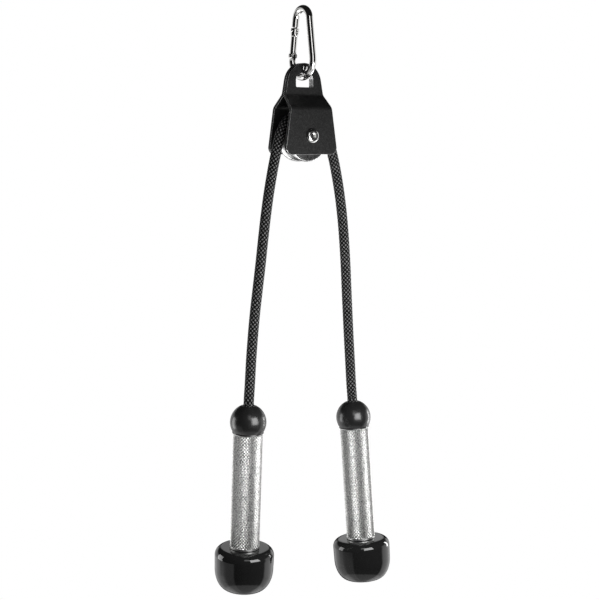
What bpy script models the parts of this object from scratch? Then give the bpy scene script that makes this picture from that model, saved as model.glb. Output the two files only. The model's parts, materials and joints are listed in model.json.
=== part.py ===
"""Cable handle: two grips on one rope that runs over a pulley block hung from a spring-gate carabiner.

The frame is in metres with +Z up. The origin is inside the top of the carabiner's bow, where the part
hangs. X runs across the block, from the left handle to the right one, and -Y is the front.
"""

import math

import bmesh
import bpy
from mathutils import Matrix, Vector

MM = 0.001

# Running gap between pieces that touch, and how far a cutter runs past what it cuts
CLEARANCE = 0.3 * MM
OVERRUN = 1.0 * MM
MERGE_DISTANCE = 0.01 * MM

# Carabiner: one bent round bar, narrow at the top and wide at the bottom, with a gate in its rear arm
BAR_DIAMETER = 6.5 * MM
CARABINER_LENGTH = 70.0 * MM
TOP_BOW_SHARE = 0.1543
BOTTOM_BOW_SHARE = 0.23
NOSE_SHARE = 0.2814
HINGE_SHARE = 0.664

# Gate: a round rod with a forked foot, a slotted head and a spring in its bore
GATE_DIAMETER = 6.2 * MM
GATE_HEAD_DIAMETER = 6.8 * MM
GATE_HEAD_LENGTH = 6.6 * MM
NOSE_GAP = 1.6 * MM
HINGE_TONGUE_THICKNESS = 2.6 * MM
HINGE_TONGUE_RADIUS = 3.0 * MM
SHOULDER_DISTANCE = 4.2 * MM
NOSE_TONGUE_THICKNESS = 2.2 * MM
NOSE_TONGUE_WIDTH = 4.0 * MM
NOSE_TONGUE_LENGTH = 5.4 * MM
NOSE_SLOT_FLOOR_GAP = 1.1 * MM
LATCH_PIN_DIAMETER = 1.5 * MM
LATCH_PIN_INSET = 3.3 * MM
RIVET_DIAMETER = 2.6 * MM
RIVET_HEAD_DIAMETER = 4.5 * MM
RIVET_HEAD_HEIGHT = 0.7 * MM
SPRING_BORE_DIAMETER = 3.4 * MM
SPRING_BORE_SHARE = 0.447
SPRING_WIRE = 0.5 * MM
SPRING_TURNS = 5
PLUNGER_LENGTH = 3.2 * MM

# Cheek plates: bent steel, close together at the tab and apart around the sheave
PLATE_THICKNESS = 3.0 * MM
TAB_PARTING = 0.6 * MM
CHEEK_SPACING = 23.8 * MM
BEND_RADIUS = 3.5 * MM
SLOT_TOP_TO_AXLE = 59.0 * MM
SLOT_WIDTH = 19.8 * MM
SLOT_HEIGHT = 13.5 * MM
SLOT_ARCH_RISE = 6.4 * MM
SLOT_CORNER_RADIUS = 1.2 * MM
TAB_ABOVE_SLOT = 9.0 * MM
TAB_TOP_RADIUS = 19.8 * MM
TAB_FOOT_ABOVE_AXLE = 37.6 * MM
TAB_FOOT_WIDTH = 44.4 * MM
SHOULDER_ABOVE_AXLE = 25.6 * MM
SHOULDER_WIDTH = 47.8 * MM
CHEEK_BELOW_AXLE = 17.4 * MM
CHEEK_BOTTOM_WIDTH = 59.2 * MM
CHEEK_CORNER_RADIUS = 6.5 * MM
PLATE_EDGE_ROUNDING = 0.5 * MM
TAB_RIVET_DIAMETER = 3.4 * MM
TAB_RIVET_HEAD_DIAMETER = 6.0 * MM
TAB_RIVET_HEAD_HEIGHT = 1.5 * MM

# Axle: a button-head bolt with a lock nut, and a spacer on each side of the bearing
BOLT_DIAMETER = 8.0 * MM
BOLT_HEAD_DIAMETER = 14.0 * MM
BOLT_HEAD_HEIGHT = 3.2 * MM
BOLT_HEAD_FLAT_DIAMETER = 8.4 * MM
SOCKET_ACROSS_FLATS = 5.0 * MM
SOCKET_DEPTH = 2.2 * MM
BOLT_END_BEYOND_NUT = 1.2 * MM
NUT_ACROSS_FLATS = 13.0 * MM
NUT_HEIGHT = 6.5 * MM
SPACER_DIAMETER = 12.0 * MM

# Sheave and its ball bearing
SHEAVE_DIAMETER = 47.2 * MM
SHEAVE_WIDTH = 17.0 * MM
GROOVE_BOTTOM_DIAMETER = 31.4 * MM
GROOVE_MOUTH_WIDTH = 13.6 * MM
GROOVE_WRAP = math.radians(75)
RIM_CHAMFER = 0.5 * MM
BEARING_DIAMETER = 22.0 * MM
BEARING_WIDTH = 7.0 * MM
RACE_THICKNESS = 2.1 * MM
BEARING_BALL_DIAMETER = 3.6 * MM
BEARING_BALL_COUNT = 7

# Rope: one braided cord from handle to handle
ROPE_DIAMETER = 9.5 * MM
ROPE_SPLIT_GAP = 0.4 * MM
ROPE_POINT_SPACING = 20.0 * MM
ROPE_WRAP_STEP = math.radians(11)
ROPE_WRAP_END = math.radians(44)
ROPE_TURN_SPACING = 4.2 * MM

# Handles: a ball stopper with a flat foot, a knurled tube that turns on the rope, and a domed end cap
BALL_DIAMETER = 34.5 * MM
TUBE_DIAMETER = 28.6 * MM
TUBE_WALL = 1.5 * MM
TUBE_LENGTH = 114.1 * MM
TUBE_EDGE_CHAMFER = 0.4 * MM
CAP_DIAMETER = 57.2 * MM
CAP_HEIGHT = 41.5 * MM
CAP_TOP_FILLET = 7.5 * MM
CAP_SIDE_HEIGHT = 13.0 * MM
CAP_SIDE_TAPER = 0.3 * MM
CAP_FLAT_DIAMETER = 31.0 * MM
CAP_SPIGOT_HEIGHT = 12.0 * MM
CAP_POCKET_DIAMETER = 15.8 * MM
CAP_POCKET_DEPTH = 20.0 * MM
WASHER_THICKNESS = 1.5 * MM
FERRULE_LENGTH = 14.0 * MM
ROPE_BEYOND_FERRULE = 1.4 * MM

# Where the handles hang: how far apart their balls' centres are, how far each ball is below the axle,
# how far the lower end of each handle leans outwards, and how far it leans to the front
HANDLE_SPREAD = 128.0 * MM
LEFT_BALL_DROP = 268.6 * MM
LEFT_LEAN = math.radians(0.2)
LEFT_FORWARD = math.radians(-3.1)
RIGHT_BALL_DROP = 280.9 * MM
RIGHT_LEAN = math.radians(1.5)
RIGHT_FORWARD = math.radians(4.2)

# The rope's route off the sheave, in millimetres from the axle: across, then up. Each leg swings about
# the last point, where the rope comes clear of the cheeks.
LEFT_EXIT = [(-19.4, 12.0), (-23.3, 6.4), (-26.5, 0.2), (-31.0, -16.0)]
RIGHT_EXIT = [(20.2, 12.4), (25.6, 6.9), (30.2, 0.5), (35.5, -16.0)]

# Each leg's route on from there, as shares of the way to its ball's centre: across, then down
LEFT_LEG_SHARES = [
    (0.1121, 0.0595), (0.2485, 0.1447), (0.3636, 0.2339), (0.4606, 0.3232), (0.5515, 0.4124),
    (0.6485, 0.4996), (0.7455, 0.5888), (0.8242, 0.6780), (0.8879, 0.7672), (0.9364, 0.8565),
]
RIGHT_LEG_SHARES = [
    (0.1509, 0.0585), (0.3228, 0.1452), (0.4526, 0.2339), (0.5439, 0.3244), (0.6105, 0.4131),
    (0.6596, 0.5036), (0.7123, 0.5941), (0.7684, 0.6865), (0.8316, 0.7790), (0.8912, 0.8695),
]

# How finely round things are faceted
HANDLE_SIDES = 36
SHEAVE_SIDES = 36
SMALL_SIDES = 24
PIN_SIDES = 16
ARC_STEPS = 6
BEND_STEPS = 3
ROPE_SPAN_STEPS = 8

# Sizes that follow from the ones above
BAR_RADIUS = BAR_DIAMETER / 2
ROPE_RADIUS = ROPE_DIAMETER / 2
TOP_BOW_RADIUS = TOP_BOW_SHARE * CARABINER_LENGTH
BOTTOM_BOW_RADIUS = BOTTOM_BOW_SHARE * CARABINER_LENGTH
TOP_BOW_Z = BAR_RADIUS - TOP_BOW_RADIUS
SEAT_Z = BAR_RADIUS - (CARABINER_LENGTH - BAR_DIAMETER)
BOTTOM_BOW_Z = SEAT_Z + BOTTOM_BOW_RADIUS
ARM_SLANT = math.asin((BOTTOM_BOW_RADIUS - TOP_BOW_RADIUS) / (TOP_BOW_Z - BOTTOM_BOW_Z))
TAB_HALF_THICKNESS = TAB_PARTING / 2 + PLATE_THICKNESS
INNER_BOW_RADIUS = BOTTOM_BOW_RADIUS - BAR_RADIUS
SEAT_RISE = INNER_BOW_RADIUS - math.sqrt(INNER_BOW_RADIUS**2 - TAB_HALF_THICKNESS**2)
SLOT_TOP_Z = SEAT_Z + BAR_RADIUS + SEAT_RISE + CLEARANCE
AXLE_Z = SLOT_TOP_Z - SLOT_TOP_TO_AXLE
CHEEK_OUTSIDE = CHEEK_SPACING / 2 + PLATE_THICKNESS
BOLT_HOLE_RADIUS = BOLT_DIAMETER / 2 + CLEARANCE
GROOVE_BOTTOM_RADIUS = GROOVE_BOTTOM_DIAMETER / 2
ROPE_PATH_RADIUS = GROOVE_BOTTOM_RADIUS + CLEARANCE + ROPE_RADIUS
ROPE_BORE_RADIUS = ROPE_RADIUS + CLEARANCE
BALL_RADIUS = BALL_DIAMETER / 2
TUBE_INNER_RADIUS = TUBE_DIAMETER / 2 - TUBE_WALL
BALL_FOOT = math.sqrt(BALL_RADIUS**2 - (TUBE_DIAMETER / 2) ** 2)
TUBE_TOP = BALL_FOOT + CLEARANCE
CAP_BELOW_BALL = TUBE_TOP + TUBE_LENGTH + CLEARANCE


def collection(name):
    """A new collection in the scene."""
    made = bpy.data.collections.new(name)
    bpy.context.scene.collection.children.link(made)
    return made


def material(name, colour, roughness, metallic):
    """A Principled material of one colour."""
    made = bpy.data.materials.new(name)
    made.use_nodes = True
    shader = made.node_tree.nodes["Principled BSDF"]
    shader.inputs["Base Color"].default_value = (*colour, 1.0)
    shader.inputs["Roughness"].default_value = roughness
    shader.inputs["Metallic"].default_value = metallic
    return made


for leftover in list(bpy.data.objects):
    bpy.data.objects.remove(leftover, do_unlink=True)

PARTS = collection("cable_handle")
CUTTERS = collection("cutters")

POLISHED_STEEL = material("polished_steel", (0.70, 0.70, 0.69), 0.16, 1.0)
BLACK_POWDER_COAT = material("black_powder_coat", (0.035, 0.035, 0.036), 0.55, 0.0)
TURNED_ALUMINIUM = material("turned_aluminium", (0.60, 0.60, 0.60), 0.32, 1.0)
BEARING_STEEL = material("bearing_steel", (0.50, 0.50, 0.51), 0.22, 1.0)
BLACK_BRAID = material("black_braid", (0.03, 0.03, 0.032), 0.75, 0.0)
SATIN_BLACK_RUBBER = material("satin_black_rubber", (0.022, 0.022, 0.023), 0.38, 0.0)
GLOSS_BLACK_RUBBER = material("gloss_black_rubber", (0.018, 0.018, 0.019), 0.2, 0.0)
KNURLED_CHROME = material("knurled_chrome", (0.68, 0.68, 0.68), 0.22, 1.0)


def place(obj, group, finish=None, parent=None, location=(0, 0, 0), rotation=(0, 0, 0)):
    """Link obj into a collection, with its material, its parent and its place under that parent."""
    group.objects.link(obj)
    if finish is not None:
        obj.data.materials.append(finish)
    obj.parent = parent
    obj.location = location
    obj.rotation_euler = rotation
    return obj


def mesh_object(name, bm):
    """An object from a bmesh, smooth where its faces meet at a shallow angle."""
    bmesh.ops.recalc_face_normals(bm, faces=bm.faces)
    mesh = bpy.data.meshes.new(name)
    bm.to_mesh(mesh)
    bm.free()
    mesh.shade_smooth()
    mesh.set_sharp_from_angle(angle=math.radians(35))
    return bpy.data.objects.new(name, mesh)


def pivot(name, location, parent=None, rotation=(0, 0, 0)):
    """An empty on a joint's axis, which carries the pieces that move with it."""
    return place(bpy.data.objects.new(name, None), PARTS, None, parent, location, rotation)


def as_cutter(obj, parent=None, location=(0, 0, 0), rotation=(0, 0, 0)):
    """Keep obj as a guide shape that never shows."""
    place(obj, CUTTERS, None, parent, location, rotation)
    obj.hide_render = True
    obj.display_type = "WIRE"
    return obj


def boolean(obj, other, operation="DIFFERENCE"):
    """Cut obj by other, or join the two."""
    step = obj.modifiers.new(other.name, "BOOLEAN")
    step.operation = operation
    step.object = other


def cylinder(name, radius, low, high, sides):
    """A cylinder along Z between two heights."""
    bm = bmesh.new()
    bmesh.ops.create_cone(
        bm, cap_ends=True, segments=sides, radius1=radius, radius2=radius, depth=high - low,
        matrix=Matrix.Translation((0, 0, (low + high) / 2)),
    )
    return mesh_object(name, bm)


def box(name, low, high):
    """A box between two corners."""
    size = [b - a for a, b in zip(low, high)]
    middle = [(a + b) / 2 for a, b in zip(low, high)]
    bm = bmesh.new()
    bmesh.ops.create_cube(
        bm, size=1.0, matrix=Matrix.Translation(middle) @ Matrix.Diagonal((*size, 1.0))
    )
    return mesh_object(name, bm)


def prism(name, outline, depth):
    """A solid from a closed outline of (x, z) points, running depth to each side of the XZ plane."""
    bm = bmesh.new()
    face = bm.faces.new([bm.verts.new((x, -depth, z)) for x, z in outline])
    grown = bmesh.ops.extrude_face_region(bm, geom=[face])["geom"]
    bmesh.ops.translate(
        bm, vec=(0, 2 * depth, 0), verts=[v for v in grown if isinstance(v, bmesh.types.BMVert)]
    )
    return mesh_object(name, bm)


def turned(name, profile, sides, closed=True):
    """A solid turned about Z from (radius, height) points that run down its outer side."""
    count = len(profile)
    edges = [(i, (i + 1) % count) for i in range(count if closed else count - 1)]
    mesh = bpy.data.meshes.new(name)
    mesh.from_pydata([(r, 0, z) for r, z in profile], edges, [])
    obj = bpy.data.objects.new(name, mesh)
    spin = obj.modifiers.new("turn", "SCREW")
    spin.steps = sides
    spin.render_steps = sides
    spin.use_merge_vertices = True
    spin.merge_threshold = MERGE_DISTANCE
    spin.use_smooth_shade = True
    return obj


def arc(centre, radii, start, end, steps):
    """Points on an ellipse's arc, from one angle to another."""
    (cx, cz), (rx, rz) = centre, radii
    angles = [start + (end - start) * i / steps for i in range(steps + 1)]
    return [(cx + rx * math.cos(a), cz + rz * math.sin(a)) for a in angles]


def smooth_curve(points, per_span):
    """Points on a curve that passes smoothly through the given ones."""
    padded = [2 * points[0] - points[1], *points, 2 * points[-1] - points[-2]]
    curve = []
    for i in range(len(points) - 1):
        before, a, b, after = padded[i:i + 4]
        for k in range(per_span):
            t = k / per_span
            curve.append(
                (2 * a + (b - before) * t + (2 * before - 5 * a + 4 * b - after) * t**2
                 + (3 * a - before - 3 * b + after) * t**3) / 2
            )
    return [*curve, points[-1]]


def every(points, spacing):
    """A line's points thinned to about one for each spacing, with both ends kept."""
    run = [0.0]
    for a, b in zip(points, points[1:]):
        run.append(run[-1] + (b - a).length)
    steps = max(1, round(run[-1] / spacing))
    picked = []
    for k in range(steps + 1):
        target = run[-1] * k / steps
        picked.append(points[min(range(len(run)), key=lambda i: abs(run[i] - target))])
    return picked


def shortened(points, at_start, at_end):
    """The same line with a little taken off its ends."""
    line = [p.copy() for p in points]
    line[0] += (line[1] - line[0]).normalized() * at_start
    line[-1] += (line[-2] - line[-1]).normalized() * at_end
    return line


def bar(name, points, diameter, resolution):
    """A round bar or cord along points, with flat ends."""
    curve = bpy.data.curves.new(name, "CURVE")
    curve.dimensions = "3D"
    curve.bevel_depth = diameter / 2
    curve.bevel_resolution = resolution
    curve.use_fill_caps = True
    spline = curve.splines.new("POLY")
    spline.points.add(len(points) - 1)
    for point, place_of in zip(spline.points, points):
        point.co = (*place_of, 1.0)
    return bpy.data.objects.new(name, curve)


def as_mesh(name, curve_object):
    """A curve's solid as a welded mesh, so that it can be cut and joined."""
    bpy.context.scene.collection.objects.link(curve_object)
    bpy.context.view_layer.update()
    evaluated = curve_object.evaluated_get(bpy.context.evaluated_depsgraph_get())
    mesh = bpy.data.meshes.new_from_object(evaluated)
    mesh.name = name
    bm = bmesh.new()
    bm.from_mesh(mesh)
    bmesh.ops.remove_doubles(bm, verts=bm.verts, dist=MERGE_DISTANCE)
    bm.to_mesh(mesh)
    bm.free()
    mesh.shade_smooth()
    mesh.set_sharp_from_angle(angle=math.radians(35))
    made = bpy.data.objects.new(name, mesh)
    made.matrix_world = curve_object.matrix_world
    bpy.data.objects.remove(curve_object, do_unlink=True)
    return made


def arm_point(distance):
    """A point on the rear arm's middle line, this far down from where the top bow ends."""
    across = TOP_BOW_RADIUS * math.cos(ARM_SLANT) + distance * math.sin(ARM_SLANT)
    up = TOP_BOW_Z + TOP_BOW_RADIUS * math.sin(ARM_SLANT) - distance * math.cos(ARM_SLANT)
    return Vector((0, across, up))


def down_the_arm(below_top):
    """How far down the rear arm a point lies that is this far below the carabiner's top."""
    bow_end = TOP_BOW_Z + TOP_BOW_RADIUS * math.sin(ARM_SLANT)
    return (bow_end - (BAR_DIAMETER - below_top)) / math.cos(ARM_SLANT)


NOSE = down_the_arm(NOSE_SHARE * CARABINER_LENGTH)
HINGE = down_the_arm(HINGE_SHARE * CARABINER_LENGTH)
ARM_LENGTH = (TOP_BOW_Z - BOTTOM_BOW_Z) * math.cos(ARM_SLANT)
GATE_SPAN = HINGE - NOSE
SPRING_BORE_DEPTH = SPRING_BORE_SHARE * GATE_SPAN
GATE_TOP = GATE_SPAN - NOSE_GAP
NOSE_TONGUE_FOOT = GATE_SPAN - NOSE_TONGUE_LENGTH
LATCH_PIN_HEIGHT = GATE_SPAN - LATCH_PIN_INSET
FORK_DEPTH = HINGE_TONGUE_RADIUS + 3 * CLEARANCE


def carabiner_line():
    """The bar's middle line: from the nose over the top bow, down the front arm and round to the hinge."""
    slant = ARM_SLANT
    top = arc((0, TOP_BOW_Z), (TOP_BOW_RADIUS,) * 2, slant, math.pi - slant, 2 * ARC_STEPS)
    past_arm = (HINGE + SHOULDER_DISTANCE - ARM_LENGTH) / BOTTOM_BOW_RADIUS
    bottom = arc(
        (0, BOTTOM_BOW_Z), (BOTTOM_BOW_RADIUS,) * 2, math.pi - slant,
        2 * math.pi + slant - max(past_arm, 0), 2 * ARC_STEPS,
    )
    line = [arm_point(NOSE)] + [Vector((0, y, z)) for y, z in top + bottom]
    if past_arm < 0:
        line.append(arm_point(HINGE + SHOULDER_DISTANCE))
    return line


def carabiner():
    """The carabiner's bar with its two flat tongues, and the gate that closes it."""
    body = as_mesh("carabiner_body", bar("bar", carabiner_line(), BAR_DIAMETER, 5))
    place(body, PARTS, POLISHED_STEEL)
    gate_pivot = pivot("gate_pivot", arm_point(HINGE), rotation=(ARM_SLANT, 0, 0))

    half = HINGE_TONGUE_THICKNESS / 2
    radius = HINGE_TONGUE_RADIUS
    foot = SHOULDER_DISTANCE + BAR_RADIUS
    tongue = as_cutter(box("hinge_tongue", (-half, -radius, -foot), (half, radius, 0)), gate_pivot)
    across = (0, math.radians(90), 0)
    round_end = as_cutter(cylinder("hinge_tongue_end", radius, -half, half, SMALL_SIDES), gate_pivot,
                          rotation=across)
    hole = as_cutter(
        cylinder("hinge_hole", RIVET_DIAMETER / 2 + CLEARANCE, -BAR_DIAMETER, BAR_DIAMETER, PIN_SIDES),
        gate_pivot, rotation=across,
    )
    half = NOSE_TONGUE_THICKNESS / 2
    width = NOSE_TONGUE_WIDTH / 2
    nose = as_cutter(
        box("nose_tongue", (-half, -width, NOSE_TONGUE_FOOT), (half, width, GATE_SPAN + BAR_RADIUS)),
        gate_pivot,
    )
    pin_room = LATCH_PIN_DIAMETER / 2 + CLEARANCE
    notch = as_cutter(
        box("nose_notch", (-BAR_RADIUS, -BAR_RADIUS, LATCH_PIN_HEIGHT - pin_room),
            (BAR_RADIUS, pin_room, LATCH_PIN_HEIGHT + pin_room)),
        gate_pivot,
    )
    for piece in (tongue, round_end, nose):
        boolean(body, piece, "UNION")
    boolean(body, hole)
    boolean(body, notch)

    gate(gate_pivot, hole, across)


def gate(gate_pivot, hole, across):
    """The gate's rod, its rivet and latch pin, and the spring and plunger in its bore."""
    radius, head = GATE_DIAMETER / 2, GATE_HEAD_DIAMETER / 2
    head_foot = GATE_TOP - GATE_HEAD_LENGTH
    step = head - radius
    ball_end = arc((0, 0), (radius, radius), 0, -math.pi / 2, ARC_STEPS)
    profile = [(0, GATE_TOP), (head - step, GATE_TOP), (head, GATE_TOP - step), (head, head_foot),
               (radius, head_foot - step), *ball_end[:-1], (0, -radius)]
    rod = place(turned("carabiner_gate", profile, SMALL_SIDES, closed=False), PARTS, POLISHED_STEEL,
                gate_pivot)

    fork = HINGE_TONGUE_THICKNESS / 2 + CLEARANCE
    fork_slot = box("fork_slot", (-fork, -BAR_RADIUS, -BAR_RADIUS), (fork, BAR_RADIUS, FORK_DEPTH))
    head_slot_half = NOSE_TONGUE_THICKNESS / 2 + CLEARANCE
    floor = NOSE_TONGUE_FOOT - NOSE_SLOT_FLOOR_GAP
    head_slot = box("head_slot", (-head_slot_half, -BAR_DIAMETER, floor),
                    (head_slot_half, BAR_DIAMETER, GATE_TOP + OVERRUN))
    bore_end = FORK_DEPTH + SPRING_BORE_DEPTH
    bore = cylinder("spring_bore", SPRING_BORE_DIAMETER / 2, 0, bore_end, PIN_SIDES)
    pin_radius = LATCH_PIN_DIAMETER / 2
    pin_hole = cylinder("latch_pin_hole", pin_radius + CLEARANCE, -BAR_DIAMETER, BAR_DIAMETER, PIN_SIDES)
    at_pin = (0, 0, LATCH_PIN_HEIGHT)
    for cutter in (fork_slot, head_slot, bore):
        boolean(rod, as_cutter(cutter, gate_pivot))
    boolean(rod, as_cutter(pin_hole, gate_pivot, at_pin, across))
    boolean(rod, hole)

    place(cylinder("gate_latch_pin", pin_radius, -head, head, PIN_SIDES), PARTS, POLISHED_STEEL,
          gate_pivot, at_pin, across)

    under_head = radius + CLEARANCE
    dome = arc((0, under_head), (RIVET_HEAD_DIAMETER / 2, RIVET_HEAD_HEIGHT), math.pi / 2, 0, 4)
    neck = [(RIVET_DIAMETER / 2, under_head), (RIVET_DIAMETER / 2, -under_head)]
    other_dome = [(r, -z) for r, z in reversed(dome)]
    place(turned("gate_hinge_rivet", dome + neck + other_dome, PIN_SIDES, closed=False), PARTS,
          POLISHED_STEEL, gate_pivot, rotation=across)

    plunger_radius = SPRING_BORE_DIAMETER / 2 - CLEARANCE
    plunger_foot = HINGE_TONGUE_RADIUS + CLEARANCE
    plunger_top = plunger_foot + PLUNGER_LENGTH
    place(cylinder("gate_plunger", plunger_radius, plunger_foot, plunger_top, PIN_SIDES), PARTS,
          BEARING_STEEL, gate_pivot)

    coil_radius = plunger_radius - SPRING_WIRE / 2
    low = plunger_top + CLEARANCE + SPRING_WIRE
    high = bore_end - CLEARANCE - SPRING_WIRE
    per_turn = 8
    steps = SPRING_TURNS * per_turn
    coil = []
    for i in range(steps + 1):
        angle = 2 * math.pi * i / per_turn
        coil.append(Vector((coil_radius * math.cos(angle), coil_radius * math.sin(angle),
                            low + (high - low) * i / steps)))
    print(f"gate spring: least gap between turns {(high - low) / SPRING_TURNS - SPRING_WIRE:.5f} m")
    place(bar("gate_spring", coil, SPRING_WIRE, 1), PARTS, BEARING_STEEL, gate_pivot)


def plate_path():
    """The cheek plate's middle line seen from the side, as (height above the axle, distance from the
    block's middle plane): straight tab, sloping shoulder and straight cheek, with round bends."""
    tab_y = (TAB_PARTING + PLATE_THICKNESS) / 2
    cheek_y = (CHEEK_SPACING + PLATE_THICKNESS) / 2
    slope = math.atan2(cheek_y - tab_y, TAB_FOOT_ABOVE_AXLE - SHOULDER_ABOVE_AXLE)
    radius = BEND_RADIUS + PLATE_THICKNESS / 2
    setback = radius * math.tan(slope / 2)
    tab_bend_z = TAB_FOOT_ABOVE_AXLE + setback
    cheek_bend_z = SHOULDER_ABOVE_AXLE - setback
    path = []
    for i in range(BEND_STEPS + 1):
        turn = slope * i / BEND_STEPS
        path.append((tab_bend_z - radius * math.sin(turn), tab_y + radius * (1 - math.cos(turn))))
    for i in range(BEND_STEPS + 1):
        turn = slope * (1 - i / BEND_STEPS)
        path.append((cheek_bend_z + radius * math.sin(turn), cheek_y - radius * (1 - math.cos(turn))))
    return path


def plate_offset(height, path):
    """How far the plate's middle line lies from the block's middle plane at a height."""
    if height >= path[0][0]:
        return path[0][1]
    for (z_high, y_high), (z_low, y_low) in zip(path, path[1:]):
        if height >= z_low:
            share = (z_high - height) / (z_high - z_low)
            return y_high + (y_low - y_high) * share
    return path[-1][1]


def plate_outline():
    """The cheek plate's outline from the front, as (x, height above the axle) points."""
    tab_top = SLOT_TOP_TO_AXLE + TAB_ABOVE_SLOT
    centre_z = tab_top - TAB_TOP_RADIUS
    foot = (TAB_FOOT_WIDTH / 2, TAB_FOOT_ABOVE_AXLE)
    reach = math.hypot(foot[0], foot[1] - centre_z)
    leaves = math.atan2(foot[1] - centre_z, foot[0]) + math.acos(min(1.0, TAB_TOP_RADIUS / reach))
    top = arc((0, centre_z), (TAB_TOP_RADIUS,) * 2, math.pi / 2, leaves, ARC_STEPS)
    shoulder = (SHOULDER_WIDTH / 2, SHOULDER_ABOVE_AXLE)
    corner_x = CHEEK_BOTTOM_WIDTH / 2 - CHEEK_CORNER_RADIUS
    corner_z = CHEEK_CORNER_RADIUS - CHEEK_BELOW_AXLE
    corner = arc((corner_x, corner_z), (CHEEK_CORNER_RADIUS,) * 2, 0, -math.pi / 2, 5)
    right = [*top, foot, shoulder, *corner]
    left = [(-x, z) for x, z in reversed(right[1:])]
    return right + left


def slot_outline():
    """The tab's slot: a wide opening with an arched top, where the carabiner's bar seats."""
    half = SLOT_WIDTH / 2
    spring_z = SLOT_TOP_TO_AXLE - SLOT_ARCH_RISE
    floor_z = SLOT_TOP_TO_AXLE - SLOT_HEIGHT
    arch = arc((0, spring_z), (half, SLOT_ARCH_RISE), math.pi, 0, 2 * ARC_STEPS)
    r = SLOT_CORNER_RADIUS
    right = arc((half - r, floor_z + r), (r, r), 0, -math.pi / 2, 3)
    left = [(-x, z) for x, z in reversed(right)]
    return arch + right + left


def cheek_plate(name, side, block):
    """One cheek plate. side is -1 for the front plate and 1 for the rear one."""
    path = plate_path()
    bm = bmesh.new()
    bm.faces.new([bm.verts.new((x, 0, z)) for x, z in plate_outline()])
    for height, _ in path:
        everything = [*bm.verts, *bm.edges, *bm.faces]
        bmesh.ops.bisect_plane(bm, geom=everything, plane_co=(0, 0, height), plane_no=(0, 0, 1))
    for vert in bm.verts:
        vert.co.y = side * plate_offset(vert.co.z, path)
    sheet = mesh_object(name, bm)
    place(sheet, PARTS, BLACK_POWDER_COAT, block)
    wall = sheet.modifiers.new("thickness", "SOLIDIFY")
    wall.thickness = PLATE_THICKNESS
    wall.offset = 0
    wall.use_even_offset = True

    reach = CHEEK_OUTSIDE + OVERRUN
    slot = as_cutter(prism(f"{name}_slot", slot_outline(), reach), block)
    axle_hole = as_cutter(
        cylinder(f"{name}_axle_hole", BOLT_HOLE_RADIUS, -reach, reach, SMALL_SIDES), block,
        rotation=(math.radians(90), math.pi / SMALL_SIDES, 0),
    )
    rivet_radius = TAB_RIVET_DIAMETER / 2 + CLEARANCE
    rivet_hole = as_cutter(
        cylinder(f"{name}_rivet_hole", rivet_radius, -reach, reach, PIN_SIDES), block,
        (0, 0, tab_rivet_height()), (math.radians(90), math.pi / PIN_SIDES / 2, 0),
    )
    for cutter in (slot, axle_hole, rivet_hole):
        boolean(sheet, cutter)
    rounding = sheet.modifiers.new("rounded_edges", "BEVEL")
    rounding.width = PLATE_EDGE_ROUNDING
    rounding.segments = 1
    rounding.limit_method = "ANGLE"
    rounding.angle_limit = math.radians(50)


def tab_rivet_height():
    """The tab rivet sits midway between the slot and the tab's top edge."""
    return SLOT_TOP_TO_AXLE + TAB_ABOVE_SLOT / 2


def tab_rivet(block):
    """The rivet with two domed heads that closes the tab."""
    under_head = TAB_HALF_THICKNESS + CLEARANCE
    head = (TAB_RIVET_HEAD_DIAMETER / 2, TAB_RIVET_HEAD_HEIGHT)
    dome = arc((0, under_head), head, math.pi / 2, 0, 5)
    neck = [(TAB_RIVET_DIAMETER / 2, under_head), (TAB_RIVET_DIAMETER / 2, -under_head)]
    other_dome = [(r, -z) for r, z in reversed(dome)]
    place(turned("tab_rivet", dome + neck + other_dome, PIN_SIDES, closed=False), PARTS,
          POLISHED_STEEL, block, (0, 0, tab_rivet_height()), (math.radians(90), 0, 0))


def axle(block):
    """The bolt, its nut and the spacers. Along the bolt, +Z points to the front."""
    forward = (math.radians(90), 0, 0)
    seat = CHEEK_OUTSIDE + CLEARANCE
    nut_foot = -seat - NUT_HEIGHT
    end = nut_foot - BOLT_END_BEYOND_NUT
    shank = BOLT_DIAMETER / 2
    flat = BOLT_HEAD_FLAT_DIAMETER / 2
    dome = arc((flat, seat), (BOLT_HEAD_DIAMETER / 2 - flat, BOLT_HEAD_HEIGHT), math.pi / 2, 0, 6)
    profile = [(0, seat + BOLT_HEAD_HEIGHT), *dome, (shank, seat), (shank, end), (0, end)]
    bolt = place(turned("axle_bolt", profile, SMALL_SIDES, closed=False), PARTS, POLISHED_STEEL, block,
                 rotation=forward)
    across_corners = SOCKET_ACROSS_FLATS / 2 / math.cos(math.pi / 6)
    head_top = seat + BOLT_HEAD_HEIGHT
    socket = cylinder("bolt_socket", across_corners, head_top - SOCKET_DEPTH, head_top + OVERRUN, 6)
    boolean(bolt, as_cutter(socket, block, rotation=forward))

    nut = cylinder("axle_nut", NUT_ACROSS_FLATS / 2 / math.cos(math.pi / 6), nut_foot, -seat, 6)
    place(nut, PARTS, POLISHED_STEEL, block, rotation=forward)
    thread = cylinder("nut_thread", BOLT_HOLE_RADIUS, nut_foot - OVERRUN, OVERRUN - seat, SMALL_SIDES)
    boolean(nut, as_cutter(thread, block, rotation=forward))
    corners = nut.modifiers.new("eased_corners", "BEVEL")
    corners.width = PLATE_EDGE_ROUNDING
    corners.segments = 1
    corners.limit_method = "ANGLE"
    corners.angle_limit = math.radians(50)

    near = BEARING_WIDTH / 2 + CLEARANCE
    far = CHEEK_SPACING / 2 - CLEARANCE
    outer, inner = SPACER_DIAMETER / 2, BOLT_HOLE_RADIUS
    for name, low, high in (("front_axle_spacer", near, far), ("rear_axle_spacer", -far, -near)):
        ring = turned(name, [(outer, high), (outer, low), (inner, low), (inner, high)], SMALL_SIDES)
        place(ring, PARTS, TURNED_ALUMINIUM, block, rotation=forward)


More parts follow.
